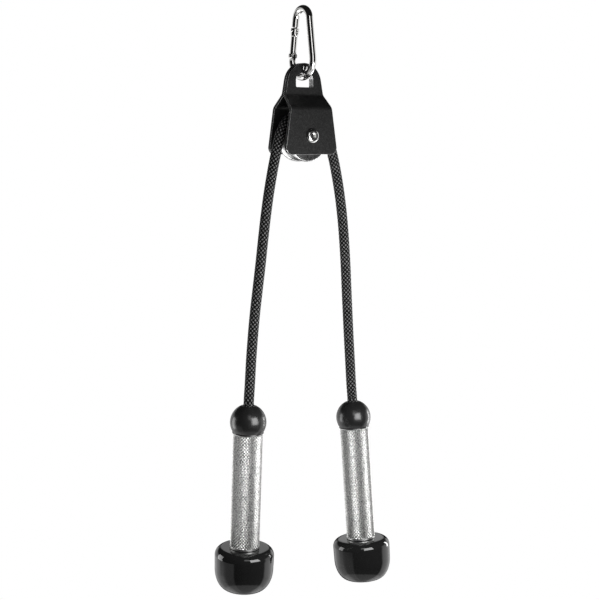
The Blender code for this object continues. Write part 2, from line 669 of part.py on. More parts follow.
def groove_section():
    """The rope groove from rim to rim, as (radius, height) points running down the outer side."""
    seat = ROPE_RADIUS + CLEARANCE
    centre = GROOVE_BOTTOM_RADIUS + seat
    mouth = GROOVE_MOUTH_WIDTH / 2
    rim = SHEAVE_DIAMETER / 2
    bottom = arc((centre, 0), (seat, seat), math.pi - GROOVE_WRAP, math.pi + GROOVE_WRAP, ARC_STEPS)
    return [(rim, mouth), *bottom, (rim, -mouth)]


def sheave(block):
    """The grooved wheel on its ball bearing."""
    wheel = pivot("sheave_pivot", (0, 0, 0), block, (math.radians(90), 0, 0))
    rim, half, ease = SHEAVE_DIAMETER / 2, SHEAVE_WIDTH / 2, RIM_CHAMFER
    bore = BEARING_DIAMETER / 2 + CLEARANCE
    profile = [(bore, half), (rim - ease, half), (rim, half - ease), *groove_section(),
               (rim, ease - half), (rim - ease, -half), (bore, -half)]
    place(turned("sheave", profile, SHEAVE_SIDES), PARTS, TURNED_ALUMINIUM, wheel)

    half = BEARING_WIDTH / 2
    outer = BEARING_DIAMETER / 2
    inner = BOLT_HOLE_RADIUS
    pitch = (outer + inner) / 2
    track = BEARING_BALL_DIAMETER / 2 + CLEARANCE
    inner_top = inner + RACE_THICKNESS
    outer_foot = outer - RACE_THICKNESS
    half_track = math.acos(min(1.0, (pitch - inner_top) / track))
    inner_track = arc((pitch, 0), (track, track), math.pi - half_track, math.pi + half_track, 4)
    place(
        turned("bearing_inner_race",
               [(inner, half), (inner_top, half), *inner_track, (inner_top, -half), (inner, -half)],
               SMALL_SIDES),
        PARTS, BEARING_STEEL, block, rotation=(math.radians(90), 0, 0),
    )
    outer_track = arc((pitch, 0), (track, track), -half_track, half_track, 4)
    place(
        turned("bearing_outer_race",
               [(outer_foot, half), (outer, half), (outer, -half), (outer_foot, -half), *outer_track],
               SMALL_SIDES),
        PARTS, BEARING_STEEL, wheel,
    )
    ball = bearing_ball_mesh(BEARING_BALL_DIAMETER / 2)
    for i in range(BEARING_BALL_COUNT):
        angle = 2 * math.pi * i / BEARING_BALL_COUNT
        spot = (pitch * math.cos(angle), pitch * math.sin(angle), 0)
        place(bpy.data.objects.new(f"bearing_ball_{i + 1}", ball), PARTS, None, wheel, spot)
    ball.materials.append(BEARING_STEEL)


def bearing_ball_mesh(radius):
    """The mesh that the bearing's balls share."""
    bm = bmesh.new()
    bmesh.ops.create_icosphere(bm, subdivisions=2, radius=radius)
    mesh = bpy.data.meshes.new("bearing_ball")
    bm.to_mesh(mesh)
    bm.free()
    mesh.shade_smooth()
    return mesh


def handle_frame(ball_place, lean, forward):
    """A handle's own axes seen from the axle: origin at the ball's centre, +Z up along the handle."""
    turn = Matrix.Rotation(lean, 4, "Y") @ Matrix.Rotation(-forward, 4, "X")
    return Matrix.Translation(ball_place) @ turn


def leg_route(exit_points, shares, ball_place):
    """The points of one side's rope from the sheave to a little above the ball."""
    route = [Vector((x, 0, z)) * MM for x, z in exit_points]
    hinge = route[-1]
    way = ball_place - hinge
    return route + [hinge + Vector((way.x * across, 0, way.z * down)) for across, down in shares]


def rope_line(left_frame, right_frame):
    """The rope's middle line from the left ball to the right one, and the indexes where it is split."""
    top = BALL_RADIUS + CLEARANCE
    straight = top + ROPE_RADIUS
    on_sheave = []
    steps = round(2 * ROPE_WRAP_END / ROPE_WRAP_STEP)
    for i in range(steps + 1):
        turn = ROPE_WRAP_END * (2 * i / steps - 1)
        on_sheave.append(Vector((math.sin(turn), 0, math.cos(turn))) * ROPE_PATH_RADIUS)
    left = leg_route(LEFT_EXIT, LEFT_LEG_SHARES, left_frame.translation)
    right = leg_route(RIGHT_EXIT, RIGHT_LEG_SHARES, right_frame.translation)
    left_end = [left_frame @ Vector((0, 0, straight)), left_frame @ Vector((0, 0, top))]
    right_end = [right_frame @ Vector((0, 0, straight)), right_frame @ Vector((0, 0, top))]
    stations = [*reversed(left_end), *reversed(left), *on_sheave, *right, *right_end]
    left_split = len(left_end) + len(left) - len(LEFT_EXIT)
    right_split = len(left_end) + len(left) + len(on_sheave) + len(RIGHT_EXIT) - 1
    steps = ROPE_SPAN_STEPS
    return smooth_curve(stations, steps), left_split * steps, right_split * steps


def rope(block, left_frame, right_frame):
    """The rope in three stretches: one over the sheave and one down to each handle. Gives back the
    pivots about which the two legs swing."""
    line, left_split, right_split = rope_line(left_frame, right_frame)
    half_gap = ROPE_SPLIT_GAP / 2
    resolution = 4
    over = shortened(every(line[left_split:right_split + 1], ROPE_TURN_SPACING), half_gap, half_gap)
    left = every(line[ROPE_SPAN_STEPS:left_split + 1], ROPE_POINT_SPACING)
    left = shortened([line[0], *left], 0, half_gap)
    right = every(line[right_split:-ROPE_SPAN_STEPS], ROPE_POINT_SPACING)
    right = shortened([*right, line[-1]], half_gap, 0)
    place(bar("rope_over_sheave", over, ROPE_DIAMETER, resolution), PARTS, BLACK_BRAID, block)
    legs = []
    for side, stretch, hinge in (("left", left, line[left_split]), ("right", right, line[right_split])):
        leg = pivot(f"{side}_leg_pivot", hinge, block)
        from_hinge = [point - hinge for point in stretch]
        place(bar(f"rope_{side}_leg", from_hinge, ROPE_DIAMETER, resolution), PARTS, BLACK_BRAID, leg)
        legs.append(leg)
    for name, stretch in (("left leg", left), ("over the sheave", over), ("right leg", right)):
        length = sum((b - a).length for a, b in zip(stretch, stretch[1:]))
        print(f"rope, {name}: {length:.4f} m")
    return legs


def cap_profile():
    """The end cap's section: spigot, flat top, round shoulder, side and dome, then the pocket and bore."""
    top = -CAP_BELOW_BALL
    side = CAP_DIAMETER / 2
    shoulder_z = top - CAP_TOP_FILLET
    dome_z = shoulder_z - CAP_SIDE_HEIGHT
    foot = top - CAP_HEIGHT
    flat = CAP_FLAT_DIAMETER / 2
    spigot = TUBE_INNER_RADIUS - CLEARANCE
    pocket = CAP_POCKET_DIAMETER / 2
    pocket_top = foot + CAP_POCKET_DEPTH
    shoulder = arc((side - CAP_TOP_FILLET, shoulder_z), (CAP_TOP_FILLET,) * 2, math.pi / 2, 0, 5)
    dome_reach = side - CAP_SIDE_TAPER - flat
    dome = arc((flat, dome_z), (dome_reach, dome_z - foot), 0, -math.pi / 2, ARC_STEPS)
    bore = ROPE_BORE_RADIUS
    spigot_top = top + CAP_SPIGOT_HEIGHT
    return [(bore, spigot_top), (spigot, spigot_top), (spigot, top), *shoulder, *dome,
            (pocket, foot), (pocket, pocket_top), (bore, pocket_top)]


def handle(side, leg, frame):
    """One handle: ball stopper, grip tube, end cap, and the rope's end with its washer and ferrule."""
    below_hinge = frame.translation - leg.location
    holder = pivot(f"{side}_handle_pivot", below_hinge, leg, frame.to_euler())
    bore = ROPE_BORE_RADIUS
    mouth = math.asin(bore / BALL_RADIUS)
    skin = arc((0, 0), (BALL_RADIUS,) * 2, math.pi / 2 - mouth, -math.asin(BALL_FOOT / BALL_RADIUS), 12)
    skin.append((bore, -BALL_FOOT))
    place(turned(f"{side}_stop_ball", skin, HANDLE_SIDES), PARTS, SATIN_BLACK_RUBBER, holder)

    outer, inner, ease = TUBE_DIAMETER / 2, TUBE_INNER_RADIUS, TUBE_EDGE_CHAMFER
    top = -TUBE_TOP
    foot = top - TUBE_LENGTH
    section = [(inner, top), (outer - ease, top), (outer, top - ease), (outer, foot + ease),
               (outer - ease, foot), (inner, foot)]
    place(turned(f"{side}_grip_tube", section, HANDLE_SIDES), PARTS, KNURLED_CHROME, holder)

    place(turned(f"{side}_end_cap", cap_profile(), HANDLE_SIDES), PARTS, GLOSS_BLACK_RUBBER, holder)

    pocket_top = -CAP_BELOW_BALL - CAP_HEIGHT + CAP_POCKET_DEPTH
    ring = CAP_POCKET_DIAMETER / 2 - CLEARANCE
    washer_top = pocket_top - CLEARANCE
    washer_foot = washer_top - WASHER_THICKNESS
    washer = [(bore, washer_top), (ring, washer_top), (ring, washer_foot), (bore, washer_foot)]
    place(turned(f"{side}_rope_washer", washer, SMALL_SIDES), PARTS, POLISHED_STEEL, holder)
    ferrule_top = washer_foot - CLEARANCE
    ferrule_foot = ferrule_top - FERRULE_LENGTH
    ferrule = [(bore, ferrule_top), (ring, ferrule_top), (ring, ferrule_foot), (bore, ferrule_foot)]
    place(turned(f"{side}_rope_ferrule", ferrule, SMALL_SIDES), PARTS, TURNED_ALUMINIUM, holder)

    core_top = BALL_RADIUS + CLEARANCE - ROPE_SPLIT_GAP
    core_foot = ferrule_foot - ROPE_BEYOND_FERRULE
    place(cylinder(f"{side}_rope_end", ROPE_RADIUS, core_foot, core_top, SMALL_SIDES), PARTS,
          BLACK_BRAID, holder)


def main():
    """Build the whole part, from the carabiner down."""
    carabiner()
    swing = pivot("block_pivot", (0, 0, SEAT_Z))
    block = pivot("block_axle", (0, 0, AXLE_Z - SEAT_Z), swing)
    cheek_plate("front_cheek_plate", -1, block)
    cheek_plate("rear_cheek_plate", 1, block)
    tab_rivet(block)
    axle(block)
    sheave(block)
    left_ball = Vector((-HANDLE_SPREAD / 2, 0, -LEFT_BALL_DROP))
    right_ball = Vector((HANDLE_SPREAD / 2, 0, -RIGHT_BALL_DROP))
    left_frame = handle_frame(left_ball, LEFT_LEAN, LEFT_FORWARD)
    right_frame = handle_frame(right_ball, -RIGHT_LEAN, RIGHT_FORWARD)
    left_leg, right_leg = rope(block, left_frame, right_frame)
    handle("left", left_leg, left_frame)
    handle("right", right_leg, right_frame)
    bpy.context.view_layer.update()


main()
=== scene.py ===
# %% [markdown]
# # A rope cable handle
#
# Two grips hang on one braided rope. The rope runs over a small pulley between two bent cheek plates,
# and the plates hang on a spring-gate carabiner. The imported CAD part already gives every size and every
# joint. This lesson dresses it: each piece that shows is modelled again, as finely as the real one is
# made, in exactly the place of its solid, and each finish is built from shader nodes.

import json
import math

import bmesh
import bpy
import numpy as np
from mathutils import Matrix, Vector

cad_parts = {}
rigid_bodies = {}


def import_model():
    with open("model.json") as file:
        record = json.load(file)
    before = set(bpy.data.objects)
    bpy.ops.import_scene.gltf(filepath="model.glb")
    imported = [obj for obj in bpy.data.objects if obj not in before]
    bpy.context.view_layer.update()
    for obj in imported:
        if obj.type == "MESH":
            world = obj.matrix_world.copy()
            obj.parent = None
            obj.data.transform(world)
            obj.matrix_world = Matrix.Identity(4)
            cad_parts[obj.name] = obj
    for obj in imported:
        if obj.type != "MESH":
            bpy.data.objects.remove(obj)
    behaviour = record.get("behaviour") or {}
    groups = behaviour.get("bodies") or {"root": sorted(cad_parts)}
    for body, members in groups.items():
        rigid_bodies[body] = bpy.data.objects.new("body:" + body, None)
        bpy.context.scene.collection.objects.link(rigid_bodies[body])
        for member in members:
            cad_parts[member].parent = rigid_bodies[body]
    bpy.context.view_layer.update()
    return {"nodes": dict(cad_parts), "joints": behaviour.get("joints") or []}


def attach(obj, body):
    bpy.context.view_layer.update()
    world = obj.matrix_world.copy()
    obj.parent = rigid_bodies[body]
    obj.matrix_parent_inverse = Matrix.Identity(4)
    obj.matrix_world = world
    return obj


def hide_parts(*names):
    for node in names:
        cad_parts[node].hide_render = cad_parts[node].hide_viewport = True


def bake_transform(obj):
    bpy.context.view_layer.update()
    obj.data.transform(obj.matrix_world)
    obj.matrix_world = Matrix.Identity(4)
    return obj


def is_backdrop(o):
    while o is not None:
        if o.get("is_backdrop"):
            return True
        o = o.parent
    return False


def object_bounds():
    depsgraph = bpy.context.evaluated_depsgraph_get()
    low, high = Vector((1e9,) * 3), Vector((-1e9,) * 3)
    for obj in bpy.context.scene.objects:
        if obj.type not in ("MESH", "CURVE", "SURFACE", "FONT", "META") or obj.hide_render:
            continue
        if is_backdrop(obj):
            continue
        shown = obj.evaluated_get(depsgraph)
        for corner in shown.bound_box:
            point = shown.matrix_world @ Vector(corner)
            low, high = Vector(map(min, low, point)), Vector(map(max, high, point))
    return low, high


for leftover in list(bpy.data.objects):
    bpy.data.objects.remove(leftover, do_unlink=True)
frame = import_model()
MM = 0.001
JOINTS = {joint["name"]: joint for joint in frame["joints"]}


def put(name, data):
    """A new object in the scene, at the frame's origin."""
    made = bpy.data.objects.new(name, data)
    bpy.context.scene.collection.objects.link(made)
    return made


# %% [markdown]
# ## The camera
#
# The photograph looks at the block from its front left. The left edge of the front plate, the seat of
# the bolt and the ellipses of the end caps give the angles: 36.5 degrees round from the front, and
# looking 7.4 degrees down. The camera stands 1.19 m from the block, a little below its axle. A long lens
# at that distance keeps the two handles almost parallel.

# %% Camera
AXLE = Vector(JOINTS["sheave_turn"]["pos_m"])
VIEW_TURN = math.radians(36.5)
VIEW_DROP = math.radians(7.4)
SENSOR, LENS = 36.0, 74.58
DISTANCE, TO_LEFT, BELOW_AXLE = 1.190, 0.0029, 0.0025
to_right = Vector((math.cos(VIEW_TURN), -math.sin(VIEW_TURN), 0))
away = Vector((math.sin(VIEW_TURN), math.cos(VIEW_TURN), 0))

camera_data = bpy.data.cameras.new("camera")
camera_data.sensor_width = SENSOR
camera_data.lens = LENS
camera = put("camera", camera_data)
camera.location = AXLE - away * DISTANCE - to_right * TO_LEFT - Vector((0, 0, BELOW_AXLE))
looking = away * math.cos(VIEW_DROP) - Vector((0, 0, math.sin(VIEW_DROP)))
camera.rotation_euler = looking.to_track_quat("-Z", "Y").to_euler()
bpy.context.scene.camera = camera
print("camera at", [round(v, 4) for v in camera.location])

# %% [markdown]
# ## Helpers for shader nodes
#
# A finish is a small network of nodes. Written out in full, each node takes three or four lines, so one
# helper makes a node, sets it and links it. The others give the things that most finishes here use: a
# grain that sits still on the piece, a number that follows it, and a bump.

# %% Node helpers
def node(tree, kind, inputs=None, **settings):
    """A new shader node with its settings, and its inputs set to values or linked to sockets."""
    made = tree.nodes.new("ShaderNode" + kind)
    for key, value in settings.items():
        setattr(made, key, value)
    for key, value in (inputs or {}).items():
        if isinstance(value, bpy.types.NodeSocket):
            tree.links.new(value, made.inputs[key])
        else:
            made.inputs[key].default_value = value
    return made


def finish(name, **sockets):
    """A new material with one Principled shader. Gives back the material, its tree and the shader."""
    made = bpy.data.materials.new(name)
    made.use_nodes = True
    shader = made.node_tree.nodes["Principled BSDF"]
    for key, value in sockets.items():
        shader.inputs[key.replace("_", " ")].default_value = value
    return made, made.node_tree, shader


def grain(tree, size, detail, stretch=(1.0, 1.0, 1.0)):
    """A noise from 0 to 1 with grains of a size in metres, still in the frame."""
    spot = node(tree, "TexCoord").outputs["Object"]
    mapped = node(tree, "Mapping", {"Vector": spot, "Scale": stretch}).outputs[0]
    return node(tree, "TexNoise", {"Vector": mapped, "Scale": 1 / size, "Detail": detail}).outputs["Fac"]


def follow(tree, factor, low, high, start=0.0, end=1.0, kind="LINEAR"):
    """A number that goes from low to high as factor goes from start to end."""
    inputs = {"Value": factor, "From Min": start, "From Max": end, "To Min": low, "To Max": high}
    return node(tree, "MapRange", inputs, interpolation_type=kind).outputs[0]


def maths(tree, operation, a, b=0.0):
    """One sum with numbers or sockets."""
    return node(tree, "Math", {0: a, 1: b}, operation=operation).outputs[0]


def tint(tree, factor, low, high):
    """A colour that goes from one grey or colour to another with a factor."""
    mixed = node(tree, "Mix", data_type="RGBA")
    tree.links.new(factor, mixed.inputs["Factor"])
    for socket, colour in ((mixed.inputs[6], low), (mixed.inputs[7], high)):
        socket.default_value = (*colour, 1.0)
    return mixed.outputs[2]


def bump(tree, shader, height, distance, strength=1.0, under=None):
    """Tilt the shader's surface by a height, over another bump if one is given."""
    inputs = {"Height": height, "Distance": distance, "Strength": strength}
    if under is not None:
        inputs["Normal"] = under
    tilted = node(tree, "Bump", inputs).outputs[0]
    tree.links.new(tilted, shader.inputs["Normal"])
    return tilted


def drive(tree, shader, **sources):
    """Link sockets to the shader's inputs by name."""
    for key, source in sources.items():
        tree.links.new(source, shader.inputs[key.replace("_", " ")])


# %% [markdown]
# ## The studio
#
# The photograph was taken on white, in a small studio: pale boards stand to the left and right, mostly
# behind the part, the ground is white, and it is dark round the camera and overhead. The bright and dark
# stripes on the steel, and the black fronts of the caps, are reflections of just these things. So the
# world is drawn by direction, as a few soft-edged boards. What the camera sees directly is plain white,
# and reflections see a pale backdrop behind the part.

# %% World
bpy.context.scene.view_settings.view_transform = "Standard"

ROOM_LIGHT = 0.010
BOARDS = [
    # middle, half size, softness (degrees: turn from the camera to the right, rise), brightness
    ((-118, -45), (36, 27), 8, 1.0),
    ((-134, -2), (28, 18), 7, 0.85),
    ((-60, -50), (21, 33), 4, 0.38),
    ((124, -28), (34, 44), 6, 1.1),
    ((0, -74), (180, 24), 4, 0.70),
]
BACKDROP_RISE = math.radians(21)
BACKDROP_LIGHT = 0.75
BACKDROP_EDGE = [math.cos(math.radians(angle)) for angle in (16, 9)]


def board(tree, angles, middle, half_size, soft, level):
    """The light of one board in a direction given by two angles in degrees."""
    light = level
    for angle, place, half in zip(angles, middle, half_size):
        off = maths(tree, "ABSOLUTE", maths(tree, "SUBTRACT", angle, place))
        inside = follow(tree, off, 1.0, 0.0, half - soft, half + soft, "SMOOTHSTEP")
        light = maths(tree, "MULTIPLY", light, inside)
    return light


def studio_world():
    """White where the camera looks, and a soft studio for every other ray."""
    world = bpy.data.worlds.new("studio")
    world.use_nodes = True
    bpy.context.scene.world = world
    tree = world.node_tree
    tree.nodes.clear()
    way = node(tree, "TexCoord").outputs["Generated"]
    height = node(tree, "SeparateXYZ", {0: way}).outputs[2]
    back = node(tree, "VectorMath", {0: way, 1: away}, operation="DOT_PRODUCT").outputs["Value"]
    side = node(tree, "VectorMath", {0: way, 1: to_right}, operation="DOT_PRODUCT").outputs["Value"]
    turn = maths(tree, "DEGREES", maths(tree, "ARCTAN2", side, maths(tree, "MULTIPLY", back, -1.0)))
    rise = maths(tree, "DEGREES", maths(tree, "ARCSINE", height))
    strength = ROOM_LIGHT
    for numbers in BOARDS:
        strength = maths(tree, "ADD", board(tree, (turn, rise), *numbers), strength)
    studio = node(tree, "Background", {"Color": (1, 1, 1, 1), "Strength": strength}).outputs[0]
    white = node(tree, "Background", {"Color": (1, 1, 1, 1), "Strength": 1.0}).outputs[0]
    ray = node(tree, "LightPath")
    behind = away * math.cos(BACKDROP_RISE) + Vector((0, 0, math.sin(BACKDROP_RISE)))
    near = node(tree, "VectorMath", {0: way, 1: behind}, operation="DOT_PRODUCT").outputs["Value"]
    shown = follow(tree, near, 0.0, BACKDROP_LIGHT, *BACKDROP_EDGE)
    backdrop = maths(tree, "MULTIPLY", ray.outputs["Is Glossy Ray"], shown)
    direct = maths(tree, "MAXIMUM", ray.outputs["Is Camera Ray"], ray.outputs["Is Transmission Ray"])
    seen = maths(tree, "MAXIMUM", direct, backdrop)
    mixed = node(tree, "MixShader", {0: seen, 1: studio, 2: white}).outputs[0]
    tree.links.new(mixed, node(tree, "OutputWorld").inputs["Surface"])


studio_world()

# %% [markdown]
# Soft panels stand close to the part: a key panel to the right of the camera, a dimmer one at the height
# of the carabiner, and one on each side for the thin bright lines. Each is given by where it stands, its
# size, and how bright it looks from the part. It is never seen directly, only as a highlight.

# %% Panels
def soft_panel(name, turn, distance, height, size, brightness):
    """An upright panel: turn in degrees from the camera to the right, height of its middle in metres."""
    across = -away * math.cos(math.radians(turn)) + to_right * math.sin(math.radians(turn))
    lamp_data = bpy.data.lights.new(name, "AREA")
    lamp_data.shape = "RECTANGLE"
    lamp_data.size, lamp_data.size_y = size
    lamp_data.energy = brightness * math.pi * size[0] * size[1]
    lamp = put(name, lamp_data)
    lamp.location = Vector((AXLE.x, AXLE.y, height)) + across * distance
    lamp.rotation_euler = (-across).to_track_quat("-Z", "Y").to_euler()
    lamp.visible_camera = False
    print(f"{name}: {lamp_data.energy:.1f} W at {[round(v, 2) for v in lamp.location]}")


soft_panel("key_panel", 37, 0.35, -0.29, (0.25, 0.27), 9.5)
soft_panel("upper_panel", 9, 0.50, 0.04, (0.19, 0.40), 1.8)
soft_panel("left_strip", -97, 0.50, -0.45, (0.22, 0.36), 4.0)
soft_panel("right_strip", 124, 0.50, -0.46, (0.06, 0.32), 14.0)

# %% [markdown]
# The floor is plain and pale, well below the part, because the part hangs. Near the part it is an
# ordinary matt surface and takes the part's soft shadow. Further out it fades away, so that the horizon
# can't be seen, and in reflections it is nearly clear, so the gloss shows the pale studio below it.

# %% Floor
FLOOR_Z, FLOOR_REACH = -0.80, 0.6
FLOOR_FADE = (0.20, 0.52)
CLEAR_IN_GLOSS = 0.8
floor_bm = bmesh.new()
bmesh.ops.create_grid(floor_bm, x_segments=1, y_segments=1, size=FLOOR_REACH,
                      matrix=Matrix.Translation((0, 0, FLOOR_Z)))
floor_mesh = bpy.data.meshes.new("floor")
floor_bm.to_mesh(floor_mesh)
floor_bm.free()
floor = put("floor", floor_mesh)
floor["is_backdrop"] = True

floor_finish, floor_tree, floor_shader = finish("pale_floor", Roughness=0.9,
                                                Base_Color=(0.80, 0.80, 0.80, 1.0))
floor_spot = node(floor_tree, "TexCoord").outputs["Object"]
level_spot = node(floor_tree, "VectorMath", {0: floor_spot, 1: (1.0, 1.0, 0.0)}, operation="MULTIPLY")
out_from_part = node(floor_tree, "VectorMath", {0: level_spot.outputs[0]}, operation="LENGTH")
faded = follow(floor_tree, out_from_part.outputs["Value"], 0.0, 1.0, *FLOOR_FADE, "SMOOTHSTEP")
glossy_ray = node(floor_tree, "LightPath").outputs["Is Glossy Ray"]
in_gloss = maths(floor_tree, "MULTIPLY", glossy_ray, CLEAR_IN_GLOSS)
faded = maths(floor_tree, "MAXIMUM", faded, in_gloss)
clear = node(floor_tree, "BsdfTransparent").outputs[0]
blended = node(floor_tree, "MixShader", {0: faded, 1: floor_shader.outputs[0], 2: clear}).outputs[0]
floor_tree.links.new(blended, floor_tree.nodes["Material Output"].inputs["Surface"])
floor_mesh.materials.append(floor_finish)

# %% [markdown]
# ## The finishes
#
# The part has few finishes, and each has a grain of its own. Polished steel is smooth but never quite
# even, so its roughness wanders a little and faint scratches cross it. A plain mirror would look like
# plastic film. Bearing steel is the same, ground finer and a little duller.

# %% Steel finishes
def steel_finish(name, colour, roughness):
    """Polished metal with wandering roughness and faint scratches."""
    made, tree, shader = finish(name, Metallic=1.0)
    worn = grain(tree, 3.0 * MM, 4.0)
    scratch = grain(tree, 0.9 * MM, 1.0, (1.0, 9.0, 1.4))
    drive(tree, shader, Base_Color=tint(tree, worn, [0.9 * v for v in colour], colour),
          Roughness=follow(tree, worn, *roughness, 0.3, 0.7))
    bump(tree, shader, scratch, 0.004 * MM)
    return made


polished_steel = steel_finish("polished_steel", (0.78, 0.775, 0.76), roughness=(0.06, 0.14))
plated_steel = steel_finish("plated_steel", (0.70, 0.70, 0.69), roughness=(0.16, 0.24))
bearing_steel = steel_finish("bearing_steel", (0.55, 0.55, 0.56), roughness=(0.16, 0.26))

# %% [markdown]
# Powder coat is sprayed on dry and baked. It ends as a skin of tiny rounded pimples, about half a
# millimetre across, matt between them and a little shiny on top. On the cut edges the skin is thin and
# gets rubbed, so the edges are given a paler and smoother finish than the faces. It is partly that wear
# and partly a painted highlight for the bright lines along the rounded rims.

# %% Powder coat
def powder_coat(name, greys, roughness, depth, **sockets):
    """A baked powder skin. Its grey and its roughness go from between the pimples to their tops."""
    made, tree, shader = finish(name, **sockets)
    pimples = grain(tree, 0.42 * MM, 1.5)
    clumps = grain(tree, 1.2 * MM, 1.0)
    cloud = grain(tree, 14 * MM, 3.0)
    uneven = maths(tree, "ADD", follow(tree, clumps, -0.14, 0.14, 0.3, 0.7),
                   follow(tree, cloud, -0.04, 0.04))
    top = follow(tree, maths(tree, "ADD", pimples, uneven), 0.0, 1.0, 0.42, 0.72)
    drive(tree, shader, Base_Color=tint(tree, top, *[(grey,) * 3 for grey in greys]),
          Roughness=follow(tree, pimples, *roughness, 0.35, 0.7))
    bump(tree, shader, pimples, depth)
    return made


black_powder_coat = powder_coat("black_powder_coat", greys=(0.002, 0.020), roughness=(0.60, 0.36),
                                depth=0.09 * MM, Specular_IOR_Level=0.27)
# The edge finish is pale metal: rubbed wear on the thin skin, and a painted highlight along the rims.
edge_wear_and_highlight = powder_coat("edge_wear_and_highlight", greys=(0.28, 0.85), roughness=(0.38, 0.26),
                          depth=0.01 * MM, Metallic=1.0)

# %% [markdown]
# The sheave and the spacers are aluminium turned on a lathe. The tool leaves fine rings about the axle.
# A wave texture in rings about the Y axis, centred on the axle, gives them, and a little noise keeps
# them from being perfect. The sheave's faces are dark, and its rims are painted pale as a painted
# highlight, so its colour changes with the distance from the axle.

# %% Turned aluminium
def turned_finish(name, grey, centre, direction, roughness, rim=None):
    """Metal with the fine rings that a lathe leaves. rim gives a radius and the paler grey beyond it, a
    painted highlight.
    """
    made, tree, shader = finish(name, Metallic=1.0)
    spot = node(tree, "TexCoord").outputs["Object"]
    centred = node(tree, "Mapping", {"Vector": spot, "Location": -centre}).outputs[0]
    rings = node(tree, "TexWave", {"Vector": centred, "Scale": 900.0, "Distortion": 0.6, "Detail": 2.0},
                 wave_type="RINGS", rings_direction=direction).outputs["Fac"]
    worn = grain(tree, 2.5 * MM, 3.0)
    shade = follow(tree, worn, 0.88 * grey, grey)
    # Beyond the rim's radius the grey is raised: a painted highlight on the rims.
    if rim:
        radius, rim_highlight_grey = rim
        flat = node(tree, "VectorMath", {0: centred, 1: (1, 0, 1)}, operation="MULTIPLY").outputs[0]
        out = node(tree, "VectorMath", {0: flat}, operation="LENGTH").outputs["Value"]
        beyond = follow(tree, out, 0.0, 1.0, radius - 0.1 * MM, radius + 0.1 * MM)
        shade = maths(tree, "ADD", shade, maths(tree, "MULTIPLY", beyond, rim_highlight_grey - grey))
    drive(tree, shader, Base_Color=shade,
          Roughness=follow(tree, worn, roughness - 0.05, roughness + 0.06, 0.3, 0.7))
    bump(tree, shader, rings, 0.003 * MM)
    return made


turned_aluminium = turned_finish("turned_aluminium", 0.50, AXLE, "Y", roughness=0.30)
# The sheave's rims get a pale grey as a painted highlight.
sheave_aluminium = turned_finish("sheave_aluminium", 0.15, AXLE, "Y", roughness=0.30,
                                 rim=(23.25 * MM, 0.62))
ferrule_aluminium = turned_finish("ferrule_aluminium", 0.66, Vector(), "Z", roughness=0.34)

# %% [markdown]
# The stop balls are a hard rubber with a satin skin, and the end caps are dipped or moulded with a high
# gloss. Both are nearly black. What tells them apart is only how sharp the reflections are, and the
# slight ripple that a moulded gloss surface always has.

# %% Rubbers
def rubber(name, grey, roughness, ripple, grain_size, grain_depth):
    """Moulded black rubber with a slow ripple and a fine grain."""
    made, tree, shader = finish(name, IOR=1.5, Base_Color=(grey, grey, grey, 1.0))
    dust_and_glint_noise = grain(tree, 6 * MM, 4.0)
    drive(tree, shader, Roughness=follow(tree, dust_and_glint_noise, *roughness, 0.35, 0.65),
          Base_Color=tint(tree, dust_and_glint_noise, (grey,) * 3, (1.3 * grey,) * 3))
    wave = bump(tree, shader, grain(tree, 9 * MM, 1.0), ripple)
    bump(tree, shader, grain(tree, grain_size, 2.0), grain_depth, under=wave)
    return made


satin_black_rubber = rubber("satin_black_rubber", 0.013, roughness=(0.22, 0.28), ripple=0.02 * MM,
                            grain_size=0.5 * MM, grain_depth=0.004 * MM)
gloss_black_rubber = rubber("gloss_black_rubber", 0.012, roughness=(0.04, 0.07), ripple=0.05 * MM,
                            grain_size=1.5 * MM, grain_depth=0.002 * MM)

# %% [markdown]
# The grip tube is knurled steel with a satin plating. The diamonds are real geometry further down. The
# finish paints the grooves darker than the tops as painted shade, and makes them duller, and a grain of
# about a millimetre keeps the diamonds from being all alike.

# %% Knurled chrome
def knurled_finish():
    """Satin chrome, duller in its grooves and darkened there as painted shade. The mesh says how deep
    each place is.
    """
    made, tree, shader = finish("knurled_chrome", Metallic=1.0)
    deep = node(tree, "Attribute", attribute_name="groove").outputs["Fac"]
    worn = grain(tree, 1.2 * MM, 1.0)
    uneven = follow(tree, worn, -0.35, 0.40, 0.34, 0.66)
    # Painted shade: the colour darkens with the depth of the groove.
    shade = maths(tree, "ADD", maths(tree, "MULTIPLY", deep, 0.55), uneven)
    drive(tree, shader, Base_Color=tint(tree, shade, (0.70, 0.70, 0.69), (0.09, 0.09, 0.09)),
          Roughness=follow(tree, shade, 0.40, 0.52))
    bump(tree, shader, worn, 0.008 * MM)
    return made


knurled_chrome = knurled_finish()

# %% [markdown]
# The rope's cover is black polyester. Each strand of the braid is a flat ribbon of a few yarns side by
# side, and the yarns catch the light as thin lines along the strand. The braid's UV map counts strands
# round the rope and pitches along it, so the sum or the difference of the two is the place across the
# upper strand. A sine of that place draws the yarns.

# %% Braid finish
YARNS = 4


